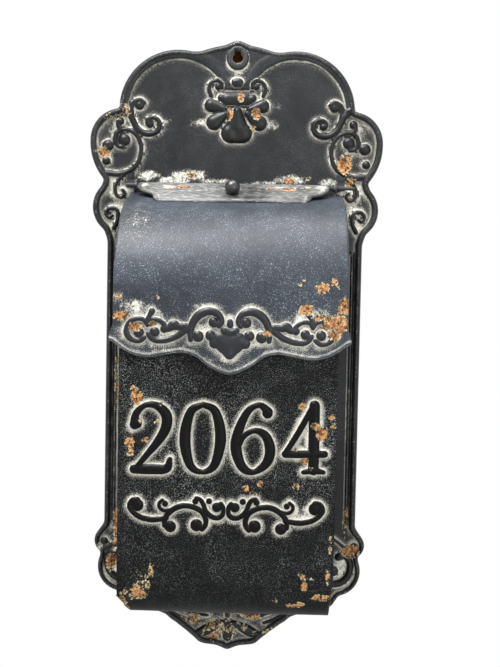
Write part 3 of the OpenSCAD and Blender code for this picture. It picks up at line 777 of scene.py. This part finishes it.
# Each digit's strokes in a cell one wide and one high, with the stem's share of thick
DIGITS = {
    "2": [[(0.08, 0.70, .9), (0.12, 0.86, .5), (0.34, 0.98, .25), (0.62, 0.97, .6), (0.84, 0.84, 1),
           (0.84, 0.66, 1),
           (0.66, 0.46, .7), (0.36, 0.24, .3), (0.10, 0.05, .2)],
          [(0.08, 0.05, .8), (0.50, 0.05, 1), (0.86, 0.06, .8), (0.95, 0.20, .1)], [(0.13, 0.72, 1.1)]],
    "0": [[(0.50, 0.99, .2), (0.80, 0.88, .7), (0.93, 0.50, 1.1), (0.80, 0.12, .7), (0.50, 0.01, .2),
           (0.20, 0.12, .7), (0.07, 0.50, 1.1), (0.20, 0.88, .7), (0.50, 0.99, .2)]],
    "6": [[(0.84, 0.88, 0.8), (0.62, 0.98, .3), (0.34, 0.88, .5), (0.13, 0.60, .9), (0.08, 0.34, 1.1),
           (0.24, 0.08, .8), (0.52, 0.01, .3), (0.82, 0.14, .8), (0.90, 0.34, 1), (0.78, 0.54, .7),
           (0.52, 0.61, .25), (0.26, 0.53, .3), (0.12, 0.38, .4)], [(0.82, 0.86, 1.0)]],
    "4": [[(0.70, 0.98, .3), (0.38, 0.62, .3), (0.04, 0.28, .3)],
          [(0.04, 0.27, .55), (0.50, 0.27, .6), (0.98, 0.27, .5)],
          [(0.72, 0.97, 1), (0.72, 0.50, 1.1), (0.72, 0.04, 1)],
          [(0.48, 0.01, .1), (0.72, 0.03, .5), (0.96, 0.01, .1)]],
}


def number_strokes(number):
    """The digits' strokes placed in a row across the face, leaning with the hand-made press."""
    strokes = []
    for place_in_row, digit in enumerate(number):
        left = (place_in_row - (len(number) - 1) / 2) * DIGIT_PITCH - DIGIT_W / 2 + 1
        for path in DIGITS[digit]:
            u, v, share = np.array(path).T
            x = left + u * DIGIT_W
            z = digit_foot_z + v * DIGIT_H + x * digit_lean
            strokes.append((DIGIT_RELIEF, np.stack([x, z, THIN + (THICK - THIN) * share], -1)))
    return strokes


SCROLL_HALF = [
    (2.4, [(-53, -429.4, 2.0), (-57, -430.1, 2.3), (-63.3, -430.9, 2.5), (-69.6, -430.7, 2.5),
        (-77.2, -428.7, 2.4), (-83.6, -424.4, 2.2), (-86.8, -418.9, 2.0), (-84.2, -413.6, 2.0),
        (-79.5, -413, 2.4)]),
    (2.0, [(-47.5, -421, 1.7), (-54.6, -422.6, 1.7), (-59.3, -420, 1.7), (-59.8, -415.9, 1.6),
        (-56.8, -413, 1.6)]),
    (2.5, [(-54.6, -436, 2.2), (-54.6, -430.1, 2.3), (-51.4, -424.9, 2.4), (-45.8, -420.4, 2.5),
        (-39.5, -417.9, 2.5), (-33.2, -417.8, 2.5), (-26.9, -419.4, 2.5), (-21.2, -423, 2.4),
        (-18, -428.6, 2.3), (-17.9, -434.3, 2.2), (-21, -438.6, 2.2)]),
    (2.3, [(-26.4, -410.6, 2.0), (-22.6, -412, 2.0), (-20, -416.5, 2.1), (-18.1, -421.6, 2.2),
        (-13.6, -426.3, 2.3), (-7.9, -428, 2.3), (-3.2, -425.6, 2.2), (-2, -420, 2.1), (-4.6, -415, 2.0)]),
    *dots(2.9, (-79.6, -418, 5.7)),
    *dots(2.2, (-54.6, -416.2, 2.8), (-27.4, -413.6, 2.8), (-15.1, -413, 2.8)),
    *dots(3.0, (-49.6, -436.8, 5.2), (-26, -435, 5.6)),
    *dots(2.8, (-8, -418.4, 4.4)),
]
BODY_STROKES = number_strokes("2064") + mirrored(SCROLL_HALF)
BODY_WASH = [
    (70, -424, 22, 10, 0.5), (30, -418, 16, 8, 0.3), (-26, -416, 22, 6, 0.3), (84, -346, 12, 30, 0.3),
    (75, -340, 20, 18, 0.34), (66, -352, 12, 40, 0.34), (-88, -360, 8, 24, 0.34), (-78, -326, 14, 8, 0.36),
    (0, -432, 60, 6, 0.2), (-78, -486, 18, 18, 0.25)]
BODY_RUST = [
    (-81, -321, 8, 8, 0.95), (-85, -314, 6, 5, 0.6), (-60, -326, 3, 3.4, 0.7), (-87, -362, 5, 7, 0.9),
    (-86, -371, 5, 6, 0.6), (-78, -342, 3, 3, 0.6), (-63, -342, 4, 4, 0.5), (-73, -359, 5, 4, 0.5),
    (66, -326, 5, 4, 0.66), (84, -350, 7, 8, 1.0), (92, -335, 5, 4, 0.7), (79, -344, 6, 5, 0.6),
    (69, -375, 5, 4.5, 0.85), (61, -365, 3, 3.4, 0.75), (94, -343, 4, 5, 0.6), (76, -382, 3, 3, 0.6),
    (17, -401, 4, 4, 0.85), (31, -397, 4, 4, 0.85), (24, -406, 4, 4, 0.5), (62, -398, 4.5, 5, 0.72),
    (-80, -499, 15, 13, 0.56), (-66, -476, 4, 9, 0.5), (-72, -488, 9, 9, 0.5), (-92, -506, 8, 12, 0.52),
    (-76, -503, 6, 5, 0.7), (69, -480, 5, 4, 0.72), (72, -489, 4.5, 5, 0.9), (76, -483, 6, 3, 0.5),
    (86, -500, 11, 4.5, 0.85), (64, -508, 12, 4, 0.7), (47, -503, 4, 3.5, 0.7), (93, -480, 3, 9, 0.62),
    (94, -450, 2.5, 12, 0.5)]


# %% Front panel surface
def side_limit(cut, depth, z):
    """How far the sheet reaches to a side at each depth and height.

    A corner cut with intercepts a, b, c along x, depth and height takes away
    a * (1 - (body_depth - depth) / b - (z - body_bottom_z) / c)^p, where that is above 0;
    a power p above 1 eases the edge into the cut.
    """
    a, b, c, p = cut
    return body_half - a * np.clip(1 - (body_depth - depth) / b - (z - body_bottom_z) / c, 0, 1) ** p


def front_surface():
    """The panel as a grid: the bent sheet, its edges drawn in to the damaged corners."""
    across = np.linspace(-1, 1, 161)
    at = np.concatenate([np.arange(body_top_z, -318, -4), np.arange(-318, -446, -1.25),
                         np.arange(-446, body_bottom_z + belly_r, -3)])
    along = np.concatenate([body_top_z - at, drop_run + np.linspace(0, belly_run, 22),
                            drop_run + belly_run + np.linspace(0, body_depth - belly_r - 3.6, 14)[1:]])
    depth, z, out_depth, out_z = [a[:, None] for a in bent(along, (body_depth, body_top_z), -90, BODY_RUNS)]
    x = across * np.where(across < 0, side_limit(CRUSHED_LEFT, depth, z), side_limit(BENT_RIGHT, depth, z))
    w = np.broadcast_to(body_top_z - along[:, None], x.shape)
    height, gap = emboss(x, w, BODY_STROKES)
    ease = smooth_step((body_half - np.abs(x)) / 12)
    waves = ease * (0.5 * np.sin(x / 31 + 1) * np.sin(w / 43) + 0.35 * np.sin(x / 17) * np.cos(w / 26))
    corner = (np.exp(-((x + body_half - 16) ** 2 + (w + 506) ** 2) / 260)
              + 0.6 * np.exp(-((x - 84) ** 2 + (w + 500) ** 2) / 200))
    lift = height + waves - 2.2 * corner
    return x, depth + out_depth * lift, z + out_z * lift, w, gap


x, depth, z, w, gap = front_surface()
folded = hem((x[0], depth[0], z[0]), 1, [60, 120, 180], [-8])
x, depth, z = [np.vstack([a[::-1], b]) for a, b in zip(folded, (x, depth, z))]
before = ((len(folded[0]), 0), (0, 0))
w, gap = np.pad(w, before, mode="edge"), np.pad(gap, before, constant_values=99.0)
front_skin = (place(x, depth, z), grid_faces(*x.shape),
              {"seam": foot_value(gap), "wash": patches(x, w, BODY_WASH), "rust": patches(x, w, BODY_RUST)})

# %% [markdown]
# ### The damaged corners
#
# Where a corner was knocked in, the sheet closes the gap with a creased flat. It is a ruled
# surface between the drawn-in edge and the side plate, pushed in by a few wrinkles.


# %% Creased flats at the corners
def corner_flat(side, cut):
    """Ruled surface from the sheet's edge to the side plate, with a creased dent between.

    The edge runs round the belly where the cut reaches it, and the far line runs straight
    from where the cut starts on the front to where it ends underneath.
    """
    a, b, c, _ = cut
    share = np.linspace(0, 1, 34)   # of the way along the edge, from the front to underneath
    first, last = body_top_z - body_bottom_z - c, drop_run + belly_run + (b - belly_r)
    depth, z, _, _ = bent(first + (last - first) * share, (body_depth, body_top_z), -90, BODY_RUNS)
    near = np.stack([side_limit(cut, depth, z), depth, z], -1)
    far = np.stack([np.full_like(share, body_half - 0.2), body_depth - b * share,
                    body_bottom_z + c * (1 - share)], -1)
    v = np.linspace(0, 1, 15)[:, None, None]
    points = near * (1 - v) + far * v
    inward = np.array([-1 / a, -1 / b, 1 / c]) / np.linalg.norm([1 / a, 1 / b, 1 / c])
    creases = 1 + 0.7 * np.sin(share * 17 + v[..., 0] * 5)
    dent = 1.6 * np.sin(math.pi * v[..., 0]) * creases * np.sin(math.pi * share)
    points = points + dent[..., None] * inward
    return place(side * points[..., 0], points[..., 1], points[..., 2])


flat_skins = []
for side, cut in ((-1, CRUSHED_LEFT), (1, BENT_RIGHT)):
    flat = corner_flat(side, cut)
    flat_skins.append((flat, grid_faces(*flat.shape[:2], flip=side < 0), {"rust": 0.62 if side < 0 else 0.4}))
front = thicken(make_piece("front_panel_sheet", [front_skin] + flat_skins), sheet_t)
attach(front, "box")
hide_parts("front_panel")

# %% [markdown]
# ## The letter flap
#
# A small plate curled round the hinge rod. Its outline steps in twice towards the bottom,
# so each row of the grid is as wide as the outline is there, and a bead runs round it.

# %% Flap surface
flap_half, flap_shift, flap_tilt, flap_len = 92.6, -2, 32, 37.6
FLAP_EDGE = [
    (0, 4.4), (0.06, 2.0), (0.2, 0), (0.34, 2.8), (0.48, 7), (0.56, 13), (0.64, 17), (0.84, 19.4), (1, 24)]


def flap_surface():
    """Rows run from under the rod, round it and down the flap; columns fill each row's width."""
    along = np.concatenate([np.linspace(0, curl_run, 20)[:-1], curl_run + np.linspace(0, flap_len, 44)])
    heading = CURL_TURN - flap_tilt
    angle = math.radians(heading + 90)
    start = (rod_depth + curl_r * math.cos(angle), rod_z + curl_r * math.sin(angle))
    side_view = bent(along, start, heading, [(curl_run, -CURL_TURN), (100, 0)])
    depth, z, out_depth, out_z = [a[:, None] for a in side_view]
    s = np.clip(along - curl_run, 0, None)[:, None]
    curve = spline(FLAP_EDGE, 0.02)
    half = flap_half - np.interp(s / flap_len, curve[:, 0], curve[:, 1])
    half = np.where(along[:, None] < curl_run, flap_half - 5, half)
    u = np.linspace(-1, 1, 141)[None]
    crowded = np.sin(u * math.pi / 2 * 0.985) / math.sin(math.pi / 2 * 0.985)   # columns closer at the ends
    x = half * (0.35 * crowded + 0.65 * u)
    edge_gap = np.minimum((half - np.abs(x)) * 0.92, flap_len - s)
    bead = 1.5 * np.clip(1 - ((edge_gap - 1.7) / 1.9) ** 2, 0, 1) ** 0.7 * smooth_step(s / 3)
    marks = sum(0.8 * np.exp(-(((np.abs(x) - mx) / 2.0) ** 2 + ((s - ms) / 1.8) ** 2))
                for mx, ms in ((14, 12), (20, 10.5), (26, 12.5), (32, 11), (38, 12.5), (44, 11.5)))
    roll_under = -1.2 * smooth_step(1 - edge_gap / 1.0) * (s > 2)
    lift = bead + marks + roll_under + 0.5 * np.sin(x / 23 + 0.6) * smooth_step(s / 20)
    # At the bead's inner foot the foot line and its zone are partly white wash and partly a painted highlight
    # along the bead and lower lip.
    foot = np.where(s > 1.0, foot_value(edge_gap - 3.8), 0)
    return x + flap_shift, depth + out_depth * lift, z + out_z * lift, np.broadcast_to(s, x.shape), foot


x, depth, z, s, foot = flap_surface()
FLAP_WASH = [
    (-60, 8, 30, 6, 0.6), (50, 8, 34, 6, 0.55), (0, 10, 26, 5, 0.42), (-86, 5, 8, 6, 0.6), (84, 6, 10, 7, 0.62)]
FLAP_RUST = [
    (-49, 8, 11, 4.5, 0.95), (-62, 11, 6, 3, 0.6), (51, 10, 11, 4.5, 0.9), (33, 8, 7, 3, 0.66),
    (70, 6, 6, 3, 0.5)]
flap_skin = (place(x, depth, z), grid_faces(*x.shape),
             {"foot": foot, "wash": patches(x, s, FLAP_WASH), "rust": patches(x, s, FLAP_RUST)})
flap = thicken(make_piece("letter_flap_sheet", [flap_skin]), sheet_t)
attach(flap, "flap")
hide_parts("slot_flap")

# %% [markdown]
# ## Colours and one helper for nodes
#
# Colours are written as they look on a screen and turned to the linear values that light
# works in. One helper adds a shader node, sets it up and links it.


# %% Colour and node helpers
def linear(hex_colour):
    """sRGB hex to linear RGBA: c / 12.92 below 0.04045, else ((c + 0.055) / 1.055)^2.4."""
    c = np.array([int(hex_colour[i:i + 2], 16) for i in (1, 3, 5)]) / 255
    c = np.where(c <= 0.04045, c / 12.92, ((c + 0.055) / 1.055) ** 2.4)
    return (*c.tolist(), 1.0)


def add(tree, kind, settings=(), *inputs):
    """Adds a node. Settings are properties and inputs by name; what follows goes to the inputs in use,
    in order. An input takes a number, a hex colour, a socket, or a node for its first output in use."""
    node = tree.nodes.new("ShaderNode" + kind)
    named = dict(settings)
    for key in [key for key in named if key in node.bl_rna.properties]:
        setattr(node, key, named.pop(key))
    in_use = [socket for socket in node.inputs if socket.enabled]
    for socket, value in [*((node.inputs[key], value) for key, value in named.items()), *zip(in_use, inputs)]:
        if isinstance(value, bpy.types.Node):
            value = next(output for output in value.outputs if output.enabled)
        if isinstance(value, bpy.types.NodeSocket):
            tree.links.new(value, socket)
        else:
            socket.default_value = linear(value) if isinstance(value, str) else value
    return node


def blank(owner):
    """The node tree of a material or world, emptied."""
    owner.use_nodes = True
    owner.node_tree.nodes.clear()
    return owner.node_tree


PLUS, MINUS, TIMES, TIMES_PLUS, MOST, LEAST = ({"operation": name} for name in (
    "ADD", "SUBTRACT", "MULTIPLY", "MULTIPLY_ADD", "MAXIMUM", "MINIMUM"))
SMOOTH, COLOUR = {"interpolation_type": "SMOOTHSTEP"}, {"data_type": "RGBA"}


# %% [markdown]
# ## Weathered paint on steel
#
# The finish has four layers. Black paint, matt to satin, varies slowly from dark to worn
# grey, carries drifts of fine pale specks where its tooth held dust, and has a colour of
# its own where the tops of the relief are rubbed. Thin white paint sits at the foot of
# every relief, crisp at the foot itself and scattered in grains further out, and lies in
# dry-brushed scraps elsewhere. The same white also paints highlight lines along the hood's
# hem, round the flap's bead, and on the crests of the plate's rim and rails' ridges. Rust
# comes up in crusty islands, with dark pits, an orange body and a cream fringe where paint
# lifted. The values stored on the meshes say where each layer lies; noise breaks their
# edges up.


# %% Layered finish
def weathered_steel(name, dark, light, speck="#8b9096", dust=0.3, dust_fade=None, speck_mm=0.9, tooth=0.5,
                    grain=(1, 1, 1), roughness=0.5, gloss=0.5, halo=1.0, foot_wash_and_lip_highlight=1.0, crest="#0b0c0d"):
    """Old painted steel: a matt to satin black coat, dusty specks, white wash that also paints highlight lines,
    and rust.
    """
    material = bpy.data.materials.new(name)
    make = partial(add, blank(material))
    place_on = make("TexCoord").outputs["Object"]
    grained = make("Mapping", {"Scale": grain}, place_on)
    noise = {key: make("TexNoise", {"Scale": 1 / (size * MM), "Detail": detail, "Roughness": rough,
                                    "Vector": source})
             for key, size, detail, rough, source in (
                 ("slow", 46.0, 2.0, 0.5, place_on), ("cloud", 13.0, 5.0, 0.62, grained),
                 ("speck", speck_mm, 1.0, 0.6, grained), ("crumb", 2.2, 4.0, 0.7, place_on),
                 ("fray", 7.0, 6.0, 0.66, place_on), ("skin", 3.4, 3.0, 0.5, grained))}
    swing = {key: make("Math", MINUS, noise[key], 0.5) for key in ("cloud", "crumb", "fray")}
    value = {key: make("Attribute", {"attribute_name": key}).outputs["Fac"]
             for key in ("foot", "seam", "wash", "rust")}

    # Worn coat: slow change of tone
    tone = make("Math", PLUS, make("MapRange", SMOOTH, noise["slow"], 0.3, 0.7, 0, 0.6),
                make("MapRange", SMOOTH, noise["cloud"], 0.35, 0.7, 0, 0.4))
    coat = make("Mix", COLOUR, tone, dark, light)

    # How near the closest relief is: a crisp line at its foot and a wide fading zone.
    # Along the hood's hem and the flap's bead this line is a painted highlight.
    near = []
    for key, share in (("foot", foot_wash_and_lip_highlight), ("seam", 1.0)):
        known = make("MapRange", SMOOTH, value[key], 0.3, 0.9, 0, share)
        risen = make("Math", TIMES, known,
                     make("MapRange", SMOOTH, value[key], FOOT_ZERO - 0.7, FOOT_ZERO + 0.1))
        frayed = make("Math", TIMES_PLUS, swing["crumb"], 3.0, value[key])
        frayed = make("Math", TIMES_PLUS, swing["cloud"], 5.0, frayed)
        near.append([make("Math", TIMES, risen,
                          make("MapRange", SMOOTH, source, FOOT_ZERO + none_at, FOOT_ZERO + full_at))
                     for source, none_at, full_at in ((frayed, 1.8, 0.4), (value[key], 7, 0))])
    line, zone = (make("Math", MOST, *pair) for pair in zip(*near))
    for key, *span in (("cloud", 0.36, 0.56, 0.22, 0.92), ("slow", 0.42, 0.6, 0.55, 1.2)):
        line = make("Math", TIMES, line, make("MapRange", SMOOTH, noise[key], *span))
    line = make("Math", LEAST, line, 1.0)

    # Dust in the coat's tooth: fine grains in drifts, none on the rubbed tops of the relief
    dusty = make("MapRange", SMOOTH, noise["speck"], tooth, tooth + 0.2, 0, dust)
    for key, *span in (("cloud", 0.3, 0.65, 0.5, 1.0), ("slow", 0.34, 0.64, 0.55, 1.25)):
        dusty = make("Math", TIMES, dusty, make("MapRange", SMOOTH, noise[key], *span))
    if dust_fade:
        height = make("SeparateXYZ", {}, place_on).outputs["Z"]
        dusty = make("Math", TIMES, dusty, make("MapRange", SMOOTH, height, *(z * MM for z in dust_fade)))
    rubbed = make("Math", TIMES, make("MapRange", SMOOTH, value["seam"], 0.3, 0.9, 0, 0.88),
                  make("MapRange", SMOOTH, value["seam"], FOOT_ZERO + 0.1, FOOT_ZERO - 0.7))
    bare = make("Math", MINUS, 1.0, rubbed)
    coat = make("Mix", COLOUR, make("Math", TIMES, dusty, bare), coat, speck)
    coat = make("Mix", COLOUR, make("Math", TIMES, rubbed, 0.85), coat, crest)

    # Wash: grains as dense as the zone and the patches ask, solid where a patch is strong,
    # and rubbed off again on top of the relief. The same white paints the highlight lines on
    # the rim's crest, the rails' ridges, the hood's hem and the flap's bead
    patch = make("Math", TIMES, make("Math", TIMES_PLUS, swing["fray"], 1.3, value["wash"]),
                 make("MapRange", SMOOTH, value["wash"], 0.02, 0.25))
    patch = make("Math", TIMES, make("Math", MOST, patch, 0.0), bare)
    density = make("Math", TIMES_PLUS, zone, 0.72 * halo, make("Math", TIMES, patch, 0.8))
    haze = make("Math", TIMES, make("Math", TIMES, zone, zone), 0.3 * halo)
    coat = make("Mix", COLOUR, haze, coat, "#b9b6ab")
    grains = make("Math", TIMES_PLUS, density, 0.42, noise["speck"])
    grains = make("Math", TIMES, make("MapRange", SMOOTH, grains, 0.64, 0.8),
                  make("Math", LEAST, make("Math", TIMES, density, 1.1), 1.0))
    coat = make("Mix", COLOUR, grains, coat, "#dcd8ca")
    solid = make("MapRange", SMOOTH, make("Math", TIMES_PLUS, swing["crumb"], 0.7, patch), 0.44, 0.8)
    wash = make("Math", MOST, line, solid)
    thin_to_thick = make("MapRange", SMOOTH, noise["crumb"], 0.38, 0.56)
    coat = make("Mix", COLOUR, wash, coat, make("Mix", COLOUR, thin_to_thick, "#b3ae9e", "#f8f4e8"))

    # Rust: cream fringe, orange body, dark pits
    spread = make("Math", TIMES_PLUS, swing["fray"], 2.1, value["rust"])
    spread = make("Math", TIMES_PLUS, swing["crumb"], 0.6, spread)
    spread = make("Math", TIMES, spread, make("MapRange", SMOOTH, value["rust"], 0.03, 0.2))
    fringe, core = (make("MapRange", SMOOTH, spread, *span) for span in ((0.34, 0.42), (0.5, 0.62)))
    lifted = make("Mix", COLOUR, make("MapRange", SMOOTH, noise["crumb"], 0.48, 0.57), "#44392a", "#d8caa4")
    flesh = "#8f5b36"
    for key, low, high, colour in (("fray", 0.42, 0.6, "#cb9560"), ("crumb", 0.57, 0.66, "#dfcba4"),
                                   ("crumb", 0.47, 0.41, "#33261c")):
        flesh = make("Mix", COLOUR, make("MapRange", SMOOTH, noise[key], low, high), flesh, colour)
    coat = make("Mix", COLOUR, core, make("Mix", COLOUR, fringe, coat, lifted), flesh)

    # Surface: rubbed tops are smoother; wash with its painted highlight lines, and rust, are rougher and stand
    # proud
    crust = make("Math", MOST, wash, fringe)
    worn = make("MapRange", {"To Min": roughness, "To Max": 0.34}, rubbed)
    rough = make("MapRange", {"To Min": worn, "To Max": 0.88}, crust)
    relief = make("Math", TIMES, crust, make("Math", PLUS, noise["crumb"], 0.2))
    relief = make("Math", TIMES_PLUS, noise["skin"], 0.3, relief)
    bump = make("Bump", {"Strength": 0.4, "Distance": 0.5 * MM, "Height": relief})
    surface = make("BsdfPrincipled", {"IOR": 1.5, "Specular IOR Level": gloss, "Base Color": coat,
                                      "Roughness": rough, "Normal": bump})
    make("OutputMaterial", {}, surface)
    return material


def wear(material, *pieces):
    """Gives the pieces this one material."""
    for piece in pieces:
        piece.data.materials.clear()
        piece.data.materials.append(material)


# %% One finish per piece
plate_paint = weathered_steel("black_enamel_on_plate", "#0e0f10", "#212325", dust=0.16, roughness=0.42,
                              gloss=0.34, halo=0.55, foot_wash_and_lip_highlight=0.9, crest="#0f1011")
body_paint = weathered_steel("black_enamel_on_body", "#040506", "#0c0e11", speck="#c6c7c0", dust=0.85,
                             dust_fade=(-600, -320), speck_mm=0.62, tooth=0.56, grain=(1, 1, 0.7),
                             roughness=0.55, gloss=0.14, crest="#030304")
hood_paint = weathered_steel("blue_black_enamel_on_hood", "#1d2229", "#343b45", speck="#c0c5cc", dust=0.62,
                             tooth=0.57, roughness=0.47, gloss=0.42, halo=0.7, foot_wash_and_lip_highlight=0.4, crest="#090a0d")
flap_paint = weathered_steel("rubbed_enamel_on_flap", "#08090a", "#777979", speck="#ece9de", dust=0.5,
                             grain=(0.14, 1.3, 1.3), roughness=0.36, halo=0.9, foot_wash_and_lip_highlight=0.6)
side_paint = weathered_steel("black_enamel_on_sides", "#070809", "#15171a", speck="#a3a4a0", dust=0.36,
                             speck_mm=0.7, roughness=0.55, gloss=0.14)
knob_paint = weathered_steel("black_enamel_on_knob", "#0e0f10", "#1d1e1f", dust=0.1, roughness=0.36, gloss=0.9)
ring_steel = weathered_steel("dark_rubbed_steel", "#141516", "#303234", dust=0.22, roughness=0.45, gloss=0.4)
wear(plate_paint, back_plate)
wear(body_paint, front)
wear(hood_paint, hood)
wear(flap_paint, flap)
wear(ring_steel, eyelet)
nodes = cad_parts
wear(side_paint, nodes["side_plate_left"], nodes["side_plate_right"])
wear(knob_paint, nodes["flap_knob"])
wear(ring_steel, nodes["hinge_strap_left"], nodes["hinge_strap_right"], nodes["hinge_rod"], nodes["knob_screw"],
     nodes["strap_rivets"], nodes["body_rivets"])
nodes["flap_knob"].data.shade_smooth()
print(f"{len(bpy.data.materials)} materials")

# %% [markdown]
# ## Floor, light and camera
#
# A plain pale floor lies below the hanging box. A large soft lamp stands up and to the
# left, a weaker one fills from the right, and the sky gives even light from all round.
# The camera sees floor and sky as white through Light Path, so no lamp has to be turned
# up for it, and shiny paint mirrors the same white.

# %% Floor
floor_drop, floor_half = 260, 6000
corner = np.array([[-1, 1], [-1, 1]]) * floor_half
floor_points = place(corner, -corner.T, plate_low[2] - floor_drop)
floor = make_piece("floor", [(floor_points, grid_faces(2, 2), {})])

# The wall itself is left out, but the patch of it that shows through the keyhole is kept
PATCH_COUNT, PATCH_RADII, PATCH_DEPTH = 48, [0.001, 9], -0.4
turn = np.linspace(0, 2 * math.pi, PATCH_COUNT + 1)[:-1]
wall_patch = make_piece("wall_behind_keyhole", [
    (place(np.outer(PATCH_RADII, np.cos(turn)), PATCH_DEPTH, np.outer(PATCH_RADII, np.sin(turn))),
     grid_faces(len(PATCH_RADII), PATCH_COUNT, close_columns=True, flip=True), {})])

floor_finish = bpy.data.materials.new("pale_floor")
make = partial(add, blank(floor_finish))
path = make("LightPath").outputs
seen = make("Math", MOST, path["Is Camera Ray"], path["Is Glossy Ray"])
matt, glow = make("BsdfDiffuse", {"Color": "#e6e6e4"}), make("Emission", {"Color": "#ffffff", "Strength": 1.0})
make("OutputMaterial", {}, make("MixShader", {}, seen, matt, glow))
wear(floor_finish, floor)

wall_finish = bpy.data.materials.new("red_brick_wall_with_painted_shade")
make = partial(add, blank(wall_finish))
# Its dark red-brown is the wall's own colour, darkened as painted shade for the wall lying in the plate's
# shadow
blots = make("TexNoise", {"Scale": 1 / (5 * MM), "Detail": 3.0, "Vector": make("TexCoord").outputs["Object"]})
matt = make("BsdfDiffuse", {}, make("Mix", COLOUR, blots, "#1d1412", "#5e3a22"))
behind = make("NewGeometry").outputs["Backfacing"]
make("OutputMaterial", {}, make("MixShader", {}, behind, matt, make("BsdfTransparent")))
wear(wall_finish, wall_patch)

# %% World
world = bpy.data.worlds.new("pale_studio")
bpy.context.scene.world = world
make = partial(add, blank(world))
path = make("LightPath").outputs
seen = make("Math", MOST, path["Is Camera Ray"], path["Is Glossy Ray"])
seen = make("Math", MOST, seen, path["Is Transmission Ray"])
dim, white = (make("Background", {"Color": colour, "Strength": strength})
              for colour, strength in (("#e9eef4", 0.46), ("#ffffff", 1.0)))
make("OutputWorld", {}, make("MixShader", {}, seen, dim, white))


# %% Lamps
def lamp(name, x, depth, z, size_mm, watts, target=(0, 50, -280)):
    """A square soft lamp at a place in mm, turned to face a target."""
    light = bpy.data.lights.new(name, "AREA")
    light.energy, light.size = watts, size_mm * MM
    holder = bpy.data.objects.new(name, light)
    bpy.context.scene.collection.objects.link(holder)
    spot, aim = Vector((x, -depth, z)) * MM, Vector((target[0], -target[1], target[2])) * MM
    holder.location = spot
    holder.rotation_euler = (aim - spot).to_track_quat("-Z", "Y").to_euler()


lamp("key", -420, 640, 1040, 600, 31)
lamp("fill", 700, 1300, -100, 1000, 5)
lamp("top", 200, 120, 900, 500, 8)

# %% Camera
yaw, pitch, roll = 0.018, 0.0506, 0.0193   # radians
lens_mm, camera_at = 52.0, (34, -950, -218.9)
ahead = np.array([-math.sin(yaw) * math.cos(pitch), math.cos(yaw) * math.cos(pitch), -math.sin(pitch)])
level = np.array([math.cos(yaw), math.sin(yaw), 0])
upright = np.cross(level, ahead)
right_axis = math.cos(roll) * level + math.sin(roll) * upright
up_axis = -math.sin(roll) * level + math.cos(roll) * upright
camera_data = bpy.data.cameras.new("camera")
camera_data.lens = lens_mm
camera = bpy.data.objects.new("camera", camera_data)
bpy.context.scene.collection.objects.link(camera)
turned = np.eye(4)
turned[:3, 0], turned[:3, 1], turned[:3, 2] = right_axis, up_axis, -ahead
turned[:3, 3] = np.array(camera_at) * MM
camera.matrix_world = Matrix(turned.tolist())
bpy.context.scene.camera = camera

bpy.context.scene.view_settings.view_transform = "Standard"
